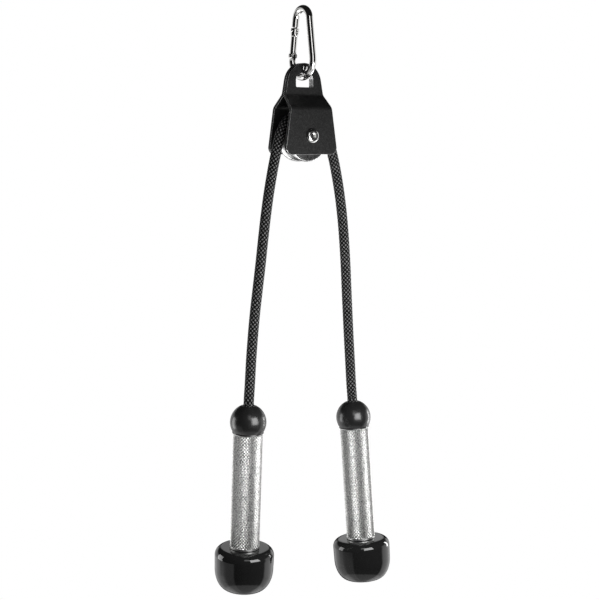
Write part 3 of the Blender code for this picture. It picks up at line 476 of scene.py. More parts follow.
def braid_finish():
    """Black yarns that follow the strands, with pale glints on their crowns."""
    made, tree, shader = finish("black_braid", Specular_IOR_Level=0.1)
    uv = node(tree, "SeparateXYZ", {0: node(tree, "UVMap", uv_map="UVMap").outputs[0]})
    way = node(tree, "Attribute", attribute_name="strand_way").outputs["Fac"]
    height = node(tree, "Attribute", attribute_name="strand_height").outputs["Fac"]
    turning = follow(tree, maths(tree, "ROUND", way), -1.0, 1.0)
    across = maths(tree, "ADD", uv.outputs[0], maths(tree, "MULTIPLY", uv.outputs[1], turning))
    along = maths(tree, "SUBTRACT", uv.outputs[0], maths(tree, "MULTIPLY", uv.outputs[1], turning))
    yarn = maths(tree, "ABSOLUTE", maths(tree, "SINE", maths(tree, "MULTIPLY", across, math.pi * YARNS)))
    twist = maths(tree, "ADD", maths(tree, "MULTIPLY", along, 14.0), maths(tree, "MULTIPLY", across, 9.0))
    fibre = maths(tree, "ABSOLUTE", maths(tree, "SINE", maths(tree, "MULTIPLY", twist, math.pi)))
    # The crowns of the yarns are painted pale: a painted highlight for their glints, which a noise
    # varies.
    crown = follow(tree, height, 0.0, 1.0, 0.45, 0.95, "SMOOTHSTEP")
    fleck = maths(tree, "MULTIPLY", maths(tree, "MULTIPLY", crown, yarn), follow(tree, fibre, 0.55, 1.0))
    dust_and_glint_noise = grain(tree, 5 * MM, 3.0)
    pale = maths(tree, "MULTIPLY", fleck, follow(tree, dust_and_glint_noise, 0.6, 1.1, 0.3, 0.7))
    drive(tree, shader, Base_Color=tint(tree, pale, (0.001, 0.001, 0.001), (0.36, 0.36, 0.36)),
          Roughness=follow(tree, crown, 0.62, 0.40))
    thread = maths(tree, "ADD", yarn, maths(tree, "MULTIPLY", fibre, 0.35))
    bump(tree, shader, thread, 0.09 * MM, 0.9)
    return made


black_braid = braid_finish()
print("finishes:", ", ".join(made.name for made in bpy.data.materials))

# %% [markdown]
# ## The rope's line
#
# The rope is one braided cord. Its middle line is the same one that the CAD solids follow: round the
# sheave, out between the cheeks and down to each ball. A Catmull-Rom curve through a few points gives a
# line that passes through all of them without a kink. Everything on the rope is then placed by one
# number, the distance along this line, so that the braid runs on unbroken from piece to piece.

# %% The rope's line
ROPE_RADIUS = 4.75 * MM
BALL_RADIUS = 17.25 * MM
GAP = 0.3 * MM
WRAP_RADIUS = 20.75 * MM
WRAP_TURNS = range(-44, 45, 11)
IN_BALL = 6 * MM
PER_SPAN = 24


def smooth_curve(points, per_span):
    """Points on a curve that passes smoothly through the given ones."""
    padded = [2 * points[0] - points[1], *points, 2 * points[-1] - points[-2]]
    curve = []
    for i in range(len(points) - 1):
        before, a, b, after = padded[i:i + 4]
        for k in range(per_span):
            t = k / per_span
            curve.append(
                (2 * a + (b - before) * t + (2 * before - 5 * a + 4 * b - after) * t**2
                 + (3 * a - before - 3 * b + after) * t**3) / 2
            )
    return [*curve, points[-1]]


def handle_matrix(side):
    """A handle's own axes: origin at its ball's centre, +Z up along the tube."""
    grip = JOINTS[f"{side}_grip_turn"]
    up = Vector(grip["axis"]).normalized()
    return Matrix.Translation(grip["pos_m"]) @ up.to_track_quat("Z", "Y").to_matrix().to_4x4()


LEFT_HANDLE = handle_matrix("left")
RIGHT_HANDLE = handle_matrix("right")


def side_route(exit_points, shares, handle):
    """One side of the rope from the sheave to the ball, as points in the frame."""
    route = [AXLE + Vector((x, 0, z)) * MM for x, z in exit_points]
    hinge = route[-1]
    way = handle.translation - hinge
    route += [hinge + Vector((way.x * across, 0, way.z * down)) for across, down in shares]
    for above in (BALL_RADIUS + GAP + ROPE_RADIUS, BALL_RADIUS + GAP, BALL_RADIUS + GAP - IN_BALL):
        route.append(handle @ Vector((0, 0, above)))
    return route


left_route = side_route(
    [(-19.4, 12.0), (-23.3, 6.4), (-26.5, 0.2), (-31.0, -16.0)],
    [(0.1121, 0.0595), (0.2485, 0.1447), (0.3636, 0.2339), (0.4606, 0.3232), (0.5515, 0.4124),
     (0.6485, 0.4996), (0.7455, 0.5888), (0.8242, 0.6780), (0.8879, 0.7672), (0.9364, 0.8565)],
    LEFT_HANDLE,
)
right_route = side_route(
    [(20.2, 12.4), (25.6, 6.9), (30.2, 0.5), (35.5, -16.0)],
    [(0.1509, 0.0585), (0.3228, 0.1452), (0.4526, 0.2339), (0.5439, 0.3244), (0.6105, 0.4131),
     (0.6596, 0.5036), (0.7123, 0.5941), (0.7684, 0.6865), (0.8316, 0.7790), (0.8912, 0.8695)],
    RIGHT_HANDLE,
)
over_sheave = [
    AXLE + Vector((math.sin(math.radians(turn)), 0, math.cos(math.radians(turn)))) * WRAP_RADIUS
    for turn in WRAP_TURNS
]
stations = [*reversed(left_route), *over_sheave, *right_route]
LINE = np.array([tuple(p) for p in smooth_curve(stations, PER_SPAN)])
RUN = np.concatenate([[0.0], np.cumsum(np.linalg.norm(np.diff(LINE, axis=0), axis=1))])


def run_of(point):
    """The distance along the rope at which it passes a point."""
    return float(RUN[np.argmin(np.linalg.norm(LINE - np.array(point), axis=1))])


def on_line(run):
    """Points of the rope's middle line at distances along it."""
    return np.stack([np.interp(run, RUN, LINE[:, k]) for k in range(3)], axis=1)


LEFT_HINGE_RUN = run_of(left_route[3])
RIGHT_HINGE_RUN = run_of(right_route[3])
LEG_TOP_LENGTH = 66 * MM
LEFT_MIDDLE_RUN = LEFT_HINGE_RUN - LEG_TOP_LENGTH
RIGHT_MIDDLE_RUN = RIGHT_HINGE_RUN + LEG_TOP_LENGTH
ROPE_LENGTH = float(RUN[-1])
print(f"rope between the balls: {ROPE_LENGTH:.3f} m")

# %% [markdown]
# ## The braid
#
# The cord's cover is a tubular braid: eight flat strands run round it one way and eight the other, and
# each goes over one crossing strand and under the next. Modelling sixteen separate strands would be
# heavy and hard to bend at the joints. Instead a grid is rolled into a tube, and each of its points is
# pushed out or in by how high the upper strand is there. That gives the real relief with one clean
# surface. The point's distance along the rope and round it go into a UV map, for the yarns in the
# material.

# %% Braid
STRANDS = 8
STRAND_PITCH = 4.1 * MM
RELIEF = 0.36 * MM
CROWN = 0.40 * MM
FALL_AT_EDGE = 0.92
BRAID_COLUMNS = 100


def braid_height(around, along):
    """How far the braid stands out at a place: around in turns, along in metres. Also which way the
    upper strand runs there, 1 or 0."""
    one_way = STRANDS * around + along / STRAND_PITCH
    other_way = STRANDS * around - along / STRAND_PITCH

    def strand(across, over):
        """Height of a strand whose number is the whole part of across."""
        number = np.floor(across)
        offset = 2 * (across - number) - 1
        sign = np.where(number % 2 == 0, 1.0, -1.0)
        rounding = np.sqrt(np.clip(1 - FALL_AT_EDGE * offset**2, 0, 1))
        return RELIEF * sign * np.sin(math.pi * over) + CROWN * rounding

    a = strand(one_way, other_way)
    b = strand(other_way, one_way - 1)
    return np.maximum(a, b), (a > b).astype(float)


def frames_along(run):
    """Middle points of the rope and the two directions across it, at distances along it."""
    step = 0.5 * MM
    centre = on_line(run)
    tangent = on_line(run + step) - on_line(run - step)
    tangent /= np.linalg.norm(tangent, axis=1)[:, None]
    across = np.cross(tangent, [0.0, 1.0, 0.0])
    across /= np.linalg.norm(across, axis=1)[:, None]
    return centre, np.cross(across, tangent), across


def straight_frames(handle):
    """The same inside a handle, where distance is counted down from the ball's centre."""
    matrix = np.array(handle)

    def frames(run):
        """Middle points and directions across at distances down the handle."""
        centre = matrix[:3, 3] - run[:, None] * matrix[:3, 2]
        return centre, np.tile(matrix[:3, 1], (len(run), 1)), np.tile(-matrix[:3, 0], (len(run), 1))

    return frames


def braided_rope(name, frames, start, end, step=0.35 * MM):
    """A braided tube from one distance to another along a line."""
    along_steps = max(4, round((end - start) / step))
    bm = bmesh.new()
    bm.loops.layers.uv.new("UVMap")
    bmesh.ops.create_grid(bm, x_segments=BRAID_COLUMNS, y_segments=along_steps, size=0.5, calc_uvs=True)
    mesh = bpy.data.meshes.new(name)
    bm.to_mesh(mesh)
    bm.free()

    flat = np.zeros(len(mesh.vertices) * 3, np.float32)
    mesh.vertices.foreach_get("co", flat)
    flat = flat.reshape(-1, 3).astype(float)
    around, run = flat[:, 0] + 0.5, start + (flat[:, 1] + 0.5) * (end - start)
    rows, row_of = np.unique(np.round(run, 9), return_inverse=True)
    centre, sideways, across = (v[row_of] for v in frames(rows))
    height, way = braid_height(around, run)
    radius = (ROPE_RADIUS - CROWN - 0.25 * RELIEF + height)[:, None]
    angle = (2 * math.pi * around)[:, None]
    placed = centre + radius * (np.cos(angle) * sideways + np.sin(angle) * across)
    mesh.vertices.foreach_set("co", placed.astype(np.float32).ravel())
    for attribute, values in (("strand_way", way), ("strand_height", (height - CROWN) / RELIEF)):
        mesh.attributes.new(attribute, "FLOAT", "POINT")
        mesh.attributes[attribute].data.foreach_set("value", values.astype(np.float32))

    uv = np.zeros(len(mesh.loops) * 2, np.float32)
    mesh.uv_layers["UVMap"].data.foreach_get("uv", uv)
    uv = uv.reshape(-1, 2)
    uv[:, 0] *= STRANDS
    uv[:, 1] = (start + uv[:, 1] * (end - start)) / STRAND_PITCH
    mesh.uv_layers["UVMap"].data.foreach_set("uv", uv.ravel())

    bm = bmesh.new()
    bm.from_mesh(mesh)
    bmesh.ops.remove_doubles(bm, verts=bm.verts, dist=0.002 * MM)
    rims = [edge for edge in bm.edges if edge.is_boundary]
    bmesh.ops.holes_fill(bm, edges=rims, sides=0)
    bmesh.ops.recalc_face_normals(bm, faces=bm.faces)
    bm.to_mesh(mesh)
    bm.free()
    mesh.shade_smooth()
    piece = put(name, mesh)
    points = [tuple(p) for p in frames(np.linspace(start, end, 40))[0]]
    print(f"{name}: {end - start:.3f} m, {len(mesh.polygons)} faces")
    return piece, points


# %% [markdown]
# ## The rope's pieces
#
# Each leg of the rope bends in two ways: it swings where it leaves the cheeks, and it grows or shrinks
# when a handle slides. A leg is made as two pieces, an upper one from the block to the leg's middle and
# a lower one from there to the ball. These stay fixed in the frame, with their place baked into them.
# The rest of the rope rides with the block, or with a handle.

# %% Rope pieces
def rope_stretch(name, start, end, cad_node, lay, *bodies):
    """One stretch of the outer rope, as a cord. It rides one body, or with two bodies stays fixed in the
    frame.
    """
    piece, points = braided_rope(name, frames_along, min(start, end), max(start, end))
    if end < start:
        points.reverse()
    piece.data.materials.append(black_braid)
    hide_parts(cad_node)
    if len(bodies) == 1:
        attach(piece, *bodies)
    else:
        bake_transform(piece)


rope_stretch("rope_over_the_sheave", LEFT_HINGE_RUN, RIGHT_HINGE_RUN, "rope_over_sheave", "taut",
             "pulley_block")
for side, hinge, middle, ball in (
    ("left", LEFT_HINGE_RUN, LEFT_MIDDLE_RUN, 0.0),
    ("right", RIGHT_HINGE_RUN, RIGHT_MIDDLE_RUN, ROPE_LENGTH),
):
    cad_node, leg = f"rope_{side}_leg", f"{side}_leg"
    rope_stretch(f"{side}_rope_upper", hinge, middle, cad_node, "hanging", "pulley_block", leg)
    rope_stretch(f"{side}_rope_lower", middle, ball, cad_node, "hanging", leg, f"{side}_handle")

# %% [markdown]
# ## Helpers for meshes
#
# Most of the metal here is turned on a lathe, and Blender's spin does the same: a profile is drawn once
# and swept round the axis. The flat pieces start as one face that is extruded. Every piece is modelled
# with its place in its mesh, so its object stays at the origin, as the CAD's own objects do.

# %% Mesh helpers
def arc(centre, radii, start, end, steps):
    """Points on an ellipse's arc between two angles in degrees."""
    angles = [math.radians(start + (end - start) * i / steps) for i in range(steps + 1)]
    return [(centre[0] + radii[0] * math.cos(a), centre[1] + radii[1] * math.sin(a)) for a in angles]


def eased(points, steps):
    """A closed profile whose corners are rounded where a point has a radius as its third number."""
    made = []
    for i, (x, z, *radius) in enumerate(points):
        if not radius:
            made.append((x, z))
            continue
        corner = Vector((x, z))
        back = (Vector(points[i - 1][:2]) - corner).normalized()
        on = (Vector(points[(i + 1) % len(points)][:2]) - corner).normalized()
        half = back.angle(on) / 2
        middle = corner + (back + on).normalized() * (radius[0] / math.sin(half))
        first = corner + back * (radius[0] / math.tan(half)) - middle
        last = corner + on * (radius[0] / math.tan(half)) - middle
        made += [tuple(middle + first.slerp(last, k / steps)) for k in range(steps + 1)]
    return made


def lathe(profile, steps, closed=True):
    """A profile of (radius, height) points in millimetres, turned once round Z."""
    bm = bmesh.new()
    verts = [bm.verts.new((r * MM, 0, z * MM)) for r, z in profile]
    edges = [bm.edges.new(pair) for pair in zip(verts, verts[1:])]
    if closed:
        edges.append(bm.edges.new((verts[-1], verts[0])))
    bmesh.ops.spin(bm, geom=verts + edges, cent=(0, 0, 0), axis=(0, 0, 1), angle=2 * math.pi,
                   steps=steps, use_merge=True)
    bmesh.ops.remove_doubles(bm, verts=bm.verts, dist=0.001 * MM)
    return bm


def prism(outline, low, high):
    """A closed outline of (x, z) points in millimetres, extruded along Y from low to high."""
    bm = bmesh.new()
    face = bm.faces.new([bm.verts.new((x * MM, low * MM, z * MM)) for x, z in outline])
    grown = bmesh.ops.extrude_face_region(bm, geom=[face])["geom"]
    bmesh.ops.translate(bm, vec=(0, (high - low) * MM, 0),
                        verts=[v for v in grown if isinstance(v, bmesh.types.BMVert)])
    return bm


def block_shape(low, high):
    """A box between two corners in millimetres."""
    return prism([(low[0], low[2]), (high[0], low[2]), (high[0], high[2]), (low[0], high[2])],
                 low[1], high[1])


def as_piece(name, bm, matrix=Matrix(), sharp=35.0):
    """An object from a bmesh in its place, smooth except at sharp edges."""
    bmesh.ops.transform(bm, matrix=matrix, verts=bm.verts)
    bmesh.ops.recalc_face_normals(bm, faces=bm.faces)
    mesh = bpy.data.meshes.new(name)
    bm.to_mesh(mesh)
    bm.free()
    mesh.shade_smooth()
    mesh.set_sharp_from_angle(angle=math.radians(sharp))
    return put(name, mesh)


def apply_steps(piece, sharp=35.0):
    """Turn a piece's modifiers into its mesh."""
    evaluated = piece.evaluated_get(bpy.context.evaluated_depsgraph_get())
    mesh = bpy.data.meshes.new_from_object(evaluated)
    piece.modifiers.clear()
    piece.data = mesh
    if sharp:
        mesh.shade_smooth()
        mesh.set_sharp_from_angle(angle=math.radians(sharp))


def cut(piece, tool, operation="DIFFERENCE"):
    """Cut a piece with a tool, or join the two, and throw the tool away."""
    step = piece.modifiers.new("cut", "BOOLEAN")
    step.operation = operation
    step.object = tool
    apply_steps(piece)
    bpy.data.objects.remove(tool, do_unlink=True)


def drill(radius, low, high, matrix, steps=32):
    """A rod along Z from low to high in millimetres, to cut a round hole."""
    rod = lathe([(0, low), (radius, low), (radius, high), (0, high)], steps, closed=False)
    return as_piece("drill", rod, matrix)


def soften(piece, width, segments, angle=38.0, edge_material=-1):
    """Round a piece's sharp edges, with its flat faces kept flat."""
    step = piece.modifiers.new("rounded_edges", "BEVEL")
    step.width = width * MM
    step.segments = segments
    step.limit_method = "ANGLE"
    step.angle_limit = math.radians(angle)
    step.harden_normals = True
    step.material = edge_material
    apply_steps(piece, sharp=0)


def dress(piece, body, slot, material, *nodes):
    """Give a piece its finish and its body, and let it stand for CAD nodes."""
    if not piece.data.materials:
        piece.data.materials.append(material)
    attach(piece, body)
    if nodes:
        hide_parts(*nodes)
    print(f"{piece.name}: {len(piece.data.polygons)} faces, rides {body}")


def refinish(names, material):
    """Give the CAD's own pieces a finer finish."""
    for name in names:
        for slot in frame["nodes"][name].material_slots:
            slot.material = material


# %% [markdown]
# ## Inside the handles
#
# The rope goes on through the ball, the tube and the cap, and ends in a pressed ferrule that a washer
# holds up. Only the ends can be seen, from above the ball and from under the cap, but the whole length
# is there, so that the part can be opened or cut. It is the same braided tube on a straight line.

# %% Rope ends, washers and ferrules
HANDLES = (("left", LEFT_HANDLE), ("right", RIGHT_HANDLE))
ROPE_END_START = IN_BALL - BALL_RADIUS - 4 * GAP
ROPE_END_DEPTH = 163.14 * MM
BORE = 5.05
POCKET_TOP = -145.848
WASHER = (POCKET_TOP - 0.3, POCKET_TOP - 1.8)
FERRULE = (POCKET_TOP - 2.1, POCKET_TOP - 16.1)
FERRULE_RADIUS = 7.6


def ferrule_profile():
    """A sleeve with eased ends and three grooves, where the press closed on it."""
    top, foot = FERRULE
    outside = []
    for k in range(3):
        middle = top - 3.2 - 3.8 * k
        outside += [(FERRULE_RADIUS, middle + 0.9, 0.25), (FERRULE_RADIUS - 0.45, middle + 0.5, 0.25),
                    (FERRULE_RADIUS - 0.45, middle - 0.5, 0.25), (FERRULE_RADIUS, middle - 0.9, 0.25)]
    return eased([(BORE, top, 0.3), (FERRULE_RADIUS, top, 0.6), *outside, (FERRULE_RADIUS, foot, 0.6),
                  (BORE, foot, 0.3)], 3)


for side, handle in HANDLES:
    body = f"{side}_handle"
    rope_end, end_points = braided_rope(f"{side}_rope_inside", straight_frames(handle), ROPE_END_START,
                                        ROPE_END_DEPTH, step=0.7 * MM)
    dress(rope_end, body, "black_braid", black_braid, f"{side}_rope_end")
    washer_top, washer_foot = WASHER
    washer = as_piece(f"{side}_washer", lathe(eased([
        (BORE, washer_top, 0.15), (FERRULE_RADIUS, washer_top, 0.3), (FERRULE_RADIUS, washer_foot, 0.3),
        (BORE, washer_foot, 0.15)], 3), 64), handle)
    dress(washer, body, "polished_steel", polished_steel, f"{side}_rope_washer")
    ferrule = as_piece(f"{side}_ferrule", lathe(ferrule_profile(), 64), handle)
    dress(ferrule, body, "turned_aluminium", ferrule_aluminium, f"{side}_rope_ferrule")

# %% [markdown]
# ## Stop balls
#
# A ball stops each handle at the block. It is moulded rubber with a bore for the rope, and the bore's
# mouth is a little rounded. Below, it is cut flat, just as wide as the tube that butts against it. On
# the lathe it is one arc, the flat and a straight bore, with the corners eased.

# %% Stop balls
BALL = 1000 * BALL_RADIUS
MOUTH_EASE = 0.7
TUBE_RADIUS = 14.3
BALL_FOOT = -math.sqrt(BALL**2 - TUBE_RADIUS**2)


def ball_profile():
    """The ball's skin from its mouth down to its flat foot, and the bore between them."""
    mouth = math.degrees(math.asin((BORE + MOUTH_EASE) / BALL))
    skin = arc((0, 0), (BALL, BALL), 90 - mouth, math.degrees(math.asin(BALL_FOOT / BALL)), 50)
    lip = skin[0][1] - MOUTH_EASE
    upper = arc((BORE + MOUTH_EASE, lip), (MOUTH_EASE, MOUTH_EASE), 180, 100, 5)
    return eased([*upper, *skin[:-1], (*skin[-1], 0.2), (BORE, BALL_FOOT, 0.4)], 4)


for side, handle in HANDLES:
    ball = as_piece(f"{side}_ball", lathe(ball_profile(), 112), handle)
    dress(ball, f"{side}_handle", "satin_black_rubber", satin_black_rubber, f"{side}_stop_ball")

# %% [markdown]
# ## Knurled tubes
#
# A knurling wheel presses crossed grooves into the tube and leaves small diamonds. They are real
# geometry here: a grid is rolled into a cylinder, every second point is pressed in, and each square is
# split between its two deep points. That makes four-sided pyramids that stand on diamonds, which is just
# what a knurl is. A short plain band is left at each end, then come the rims and the inner wall.

# %% Knurled tubes
TUBE_INNER = 12.8
TUBE_TOP = BALL_FOOT - 0.3
TUBE_FOOT = TUBE_TOP - 114.1
TOP_BAND = 1.0
FOOT_BAND = 2.2
KNURLS_AROUND = 32
KNURL_LENGTH = 3.3
KNURL_DEPTH = 0.66
RIM_EASE = 0.4


def tube_shape():
    """A knurled tube about Z."""
    around = 2 * KNURLS_AROUND
    high, low = TUBE_TOP - TOP_BAND, TUBE_FOOT + FOOT_BAND
    along = 2 * round((high - low) / KNURL_LENGTH)
    bm = bmesh.new()
    bmesh.ops.create_grid(bm, x_segments=around, y_segments=along, size=0.5)
    groove = bm.verts.layers.float.new("groove")
    deep = []
    for vert in bm.verts:
        column, row = round((vert.co.x + 0.5) * around), round((vert.co.y + 0.5) * along)
        pressed = (column + row) % 2
        angle = 2 * math.pi * column / around
        radius = TUBE_RADIUS - KNURL_DEPTH * pressed
        height = low + (high - low) * row / along
        vert.co = Vector((radius * math.cos(angle), radius * math.sin(angle), height)) * MM
        vert[groove] = pressed
        if pressed:
            deep.append(vert)
    bmesh.ops.connect_verts(bm, verts=deep)
    bmesh.ops.remove_doubles(bm, verts=bm.verts, dist=0.01 * MM)

    open_edges = [edge for edge in bm.edges if edge.is_boundary]
    middle = (high + low) / 2 * MM
    upper = [edge for edge in open_edges if edge.verts[0].co.z > middle]
    lower = [edge for edge in open_edges if edge.verts[0].co.z < middle]

    def grow(edges, rings):
        """Extrude an open rim through rings of (radius, height)."""
        for radius, height in rings:
            grown = bmesh.ops.extrude_edge_only(bm, edges=edges)["geom"]
            edges = [item for item in grown if isinstance(item, bmesh.types.BMEdge)]
            for vert in {vert for edge in edges for vert in edge.verts}:
                flat = vert.co.xy.normalized() * radius * MM
                vert.co = (flat.x, flat.y, height * MM)
                vert[groove] = 0.0
        return edges

    rim = [(TUBE_RADIUS, 0.25), (TUBE_RADIUS, RIM_EASE), (TUBE_RADIUS - 0.12, RIM_EASE * 0.3),
           (TUBE_RADIUS - RIM_EASE, 0.0), (TUBE_INNER + 0.2, 0.0), (TUBE_INNER, 0.2)]
    upper = grow(upper, [(rim[0][0], high + rim[0][1])] + [(r, TUBE_TOP - z) for r, z in rim[1:]])
    lower = grow(lower, [(rim[0][0], low - rim[0][1])] + [(r, TUBE_FOOT + z) for r, z in rim[1:]])
    bmesh.ops.bridge_loops(bm, edges=upper + lower)
    return bm


for side, handle in HANDLES:
    tube = as_piece(f"{side}_tube", tube_shape(), handle, sharp=20)
    dress(tube, f"{side}_grip", "knurled_chrome", knurled_chrome, f"{side}_grip_tube")

# %% [markdown]
# ## End caps
#
# Each cap closes the lower end of its handle: a flat top with a broad round shoulder, a nearly straight
# side, and a domed bottom with a pocket for the rope's end. It is one profile on the lathe. The many
# short steps in its arcs matter, because a gloss shows every facet.

# %% End caps
CAP_TOP = TUBE_FOOT - 0.3
CAP_FOOT = CAP_TOP - 41.5
CAP_RADIUS = 28.6
CAP_FILLET = 7.5
CAP_SIDE = 13.0
CAP_TAPER = 0.3
CAP_FLAT = 15.5
POCKET_RADIUS = 7.9
SPIGOT_RADIUS = TUBE_INNER - 0.3
CAP_SPIGOT = 12.0


def cap_profile():
    """Spigot, flat top, shoulder, side and dome, then the pocket and the bore."""
    shoulder_z = CAP_TOP - CAP_FILLET
    dome_z = shoulder_z - CAP_SIDE
    shoulder = arc((CAP_RADIUS - CAP_FILLET, shoulder_z), (CAP_FILLET, CAP_FILLET), 90, 0, 20)
    dome = arc((CAP_FLAT, dome_z), (CAP_RADIUS - CAP_TAPER - CAP_FLAT, dome_z - CAP_FOOT), 0, -90, 40)
    spigot_top = CAP_TOP + CAP_SPIGOT
    return eased([(BORE, spigot_top, 0.4), (SPIGOT_RADIUS, spigot_top, 0.8), (SPIGOT_RADIUS, CAP_TOP),
                  *shoulder, *dome, (POCKET_RADIUS, CAP_FOOT, 0.8), (POCKET_RADIUS, POCKET_TOP),
                  (BORE, POCKET_TOP)], 5)


for side, handle in HANDLES:
    cap = as_piece(f"{side}_cap", lathe(cap_profile(), 144), handle)
    dress(cap, f"{side}_handle", "gloss_black_rubber", gloss_black_rubber, f"{side}_end_cap")

# %% [markdown]
# ## Carabiner
#
# The carabiner is one steel bar bent round two bows, narrow above and wide below. In Blender that is a
# circle swept along: spin takes it round a bow, and extrude takes it down an arm. The bar starts at the
# nose and ends at the hinge. A flat tongue stands on each end, and both are joined on and cut with
# booleans, because they cross the round bar at odd curves.

# %% Carabiner's bar
BAR = 3.25
TOP_BOW, TOP_Z = 10.801, -7.551
BOTTOM_BOW, BOTTOM_Z = 16.1, -44.15
SLANT = math.asin((BOTTOM_BOW - TOP_BOW) / (TOP_Z - BOTTOM_Z))
ARM = (TOP_Z - BOTTOM_Z) * math.cos(SLANT)
NOSE = 7.288
HINGE = 34.355
SHOULDER = 4.2
GATE = Matrix.Translation(JOINTS["gate_hinge"]["pos_m"]) @ Matrix.Rotation(SLANT, 4, "X")
ACROSS = Matrix.Rotation(math.radians(90), 4, "Y")
SIDEWAYS = Matrix.Rotation(math.radians(90), 4, "Z")


def carabiner_bar():
    """The round bar, swept from the nose over both bows to the hinge."""
    bm = bmesh.new()
    nose = GATE @ Matrix.Translation((0, 0, (HINGE - NOSE) * MM))
    ring = bmesh.ops.create_circle(bm, segments=40, radius=BAR * MM, matrix=nose)["verts"]
    ring = list({edge for vert in ring for edge in vert.link_edges})

    def straight(ring, across, up):
        """Carry the ring on along a straight arm."""
        grown = bmesh.ops.extrude_edge_only(bm, edges=ring)["geom"]
        bmesh.ops.translate(bm, vec=Vector((0, across, up)) * MM,
                            verts=[v for v in grown if isinstance(v, bmesh.types.BMVert)])
        return [edge for edge in grown if isinstance(edge, bmesh.types.BMEdge)]

    def turn(ring, height, angle, steps):
        """Carry the ring on round a bow."""
        last = bmesh.ops.spin(bm, geom=ring, cent=(0, 0, height * MM), axis=(1, 0, 0), angle=angle,
                              steps=steps)["geom_last"]
        return [edge for edge in last if isinstance(edge, bmesh.types.BMEdge)]

    ring = straight(ring, -NOSE * math.sin(SLANT), NOSE * math.cos(SLANT))
    ring = turn(ring, TOP_Z, math.pi - 2 * SLANT, 40)
    ring = straight(ring, -ARM * math.sin(SLANT), -ARM * math.cos(SLANT))
    past_arm = (HINGE + SHOULDER - ARM) / BOTTOM_BOW
    turn(ring, BOTTOM_Z, math.pi + 2 * SLANT - past_arm, 56)
    bmesh.ops.holes_fill(bm, edges=[edge for edge in bm.edges if edge.is_boundary], sides=0)
    return bm


carabiner_body = as_piece("carabiner_bar", carabiner_bar())

# %% Tongues of the carabiner
GATE_SPAN = HINGE - NOSE
TONGUE = 1.3
TONGUE_RADIUS = 3.0
NOSE_TONGUE = (1.1, 2.0, 5.4)
PIN_HEIGHT = GATE_SPAN - 3.3
RIVET_HOLE = 1.6
PIN_ROOM = 1.05
THROUGH = 8

hinge_outline = [(-TONGUE_RADIUS, -SHOULDER - BAR), (TONGUE_RADIUS, -SHOULDER - BAR),
                 *arc((0, 0), (TONGUE_RADIUS,) * 2, 0, 180, 20)]
thin, wide, tall = NOSE_TONGUE
for tongue_shape in (
    as_piece("hinge_tongue", prism(hinge_outline, -TONGUE, TONGUE), GATE @ SIDEWAYS),
    as_piece("nose_tongue", block_shape((-thin, -wide, GATE_SPAN - tall), (thin, wide, GATE_SPAN + BAR)),
             GATE),
):
    cut(carabiner_body, tongue_shape, "UNION")
for hollow in (
    drill(RIVET_HOLE, -THROUGH, THROUGH, GATE @ ACROSS),
    as_piece("nose_notch", block_shape((-BAR, -BAR, PIN_HEIGHT - PIN_ROOM),
                                       (BAR, PIN_ROOM, PIN_HEIGHT + PIN_ROOM)), GATE),
):
    cut(carabiner_body, hollow)
soften(carabiner_body, 0.35, 3)
dress(carabiner_body, "carabiner", "polished_steel", polished_steel, "carabiner_body")

# %% [markdown]
# ## Gate
#
# The gate is a turned rod. Its foot is forked over the hinge tongue, and its head has a slot for the
# nose tongue, with a pin across it that hooks under the nose. It is turned first and slotted after, as
# in the workshop. The spring and its plunger in the bore are the CAD's own pieces, with a better finish.

# %% Gate
GATE_RADIUS = 3.1
HEAD_RADIUS = 3.4
HEAD_LENGTH = 6.6
GATE_TOP = GATE_SPAN - 1.6
FORK = 1.6
FORK_DEPTH = 3.9
HEAD_SLOT = 1.4
HEAD_SLOT_FLOOR = GATE_SPAN - 6.5
SPRING_BORE = (1.7, 16.0)
ACROSS_PIN = GATE @ Matrix.Translation((0, 0, PIN_HEIGHT * MM)) @ ACROSS

head_foot = GATE_TOP - HEAD_LENGTH
gate_profile = [
    (0, GATE_TOP), *eased([(0, GATE_TOP), (HEAD_RADIUS, GATE_TOP, 0.5), (HEAD_RADIUS, head_foot)], 4)[1:],
    (HEAD_RADIUS - 0.1, head_foot - 0.12), (GATE_RADIUS, head_foot - 0.4),
    *arc((0, 0), (GATE_RADIUS, GATE_RADIUS), 0, -88, 22), (0, -GATE_RADIUS),
]
gate = as_piece("gate", lathe(gate_profile, 56, closed=False), GATE)
bore_radius, bore_end = SPRING_BORE
for hollow in (
    as_piece("fork_slot", block_shape((-FORK, -5, -5), (FORK, 5, FORK_DEPTH)), GATE),
    as_piece("head_slot", block_shape((-HEAD_SLOT, -7, HEAD_SLOT_FLOOR), (HEAD_SLOT, 7, GATE_TOP + 1)),
             GATE),
    drill(bore_radius, 0, bore_end, GATE),
    drill(PIN_ROOM, -THROUGH, THROUGH, ACROSS_PIN),
    drill(RIVET_HOLE, -THROUGH, THROUGH, GATE @ ACROSS),
):
    cut(gate, hollow)
soften(gate, 0.16, 2)
dress(gate, "gate", "polished_steel", polished_steel, "carabiner_gate")

# %% Latch pin and hinge rivet
LATCH_PIN = 0.75
pin_profile = [(0, -HEAD_RADIUS)] + eased([(LATCH_PIN, -HEAD_RADIUS, 0.2), (LATCH_PIN, HEAD_RADIUS, 0.2),
                                           (0, HEAD_RADIUS), (0, -HEAD_RADIUS)], 3)[:-1]
pin = as_piece("latch_pin", lathe(pin_profile, 32, closed=False), ACROSS_PIN)
dress(pin, "gate", "polished_steel", polished_steel, "gate_latch_pin")


def two_headed_rivet(name, shank, head_radius, head_height, under_head, matrix, steps=48):
    """A rivet with a domed head at each end of its shank."""
    dome = arc((0, under_head), (head_radius, head_height), 90, 0, 12)
    return as_piece(name, lathe([*dome, (shank, under_head), (shank, -under_head),
                                 *[(r, -z) for r, z in reversed(dome)]], steps, closed=False), matrix)


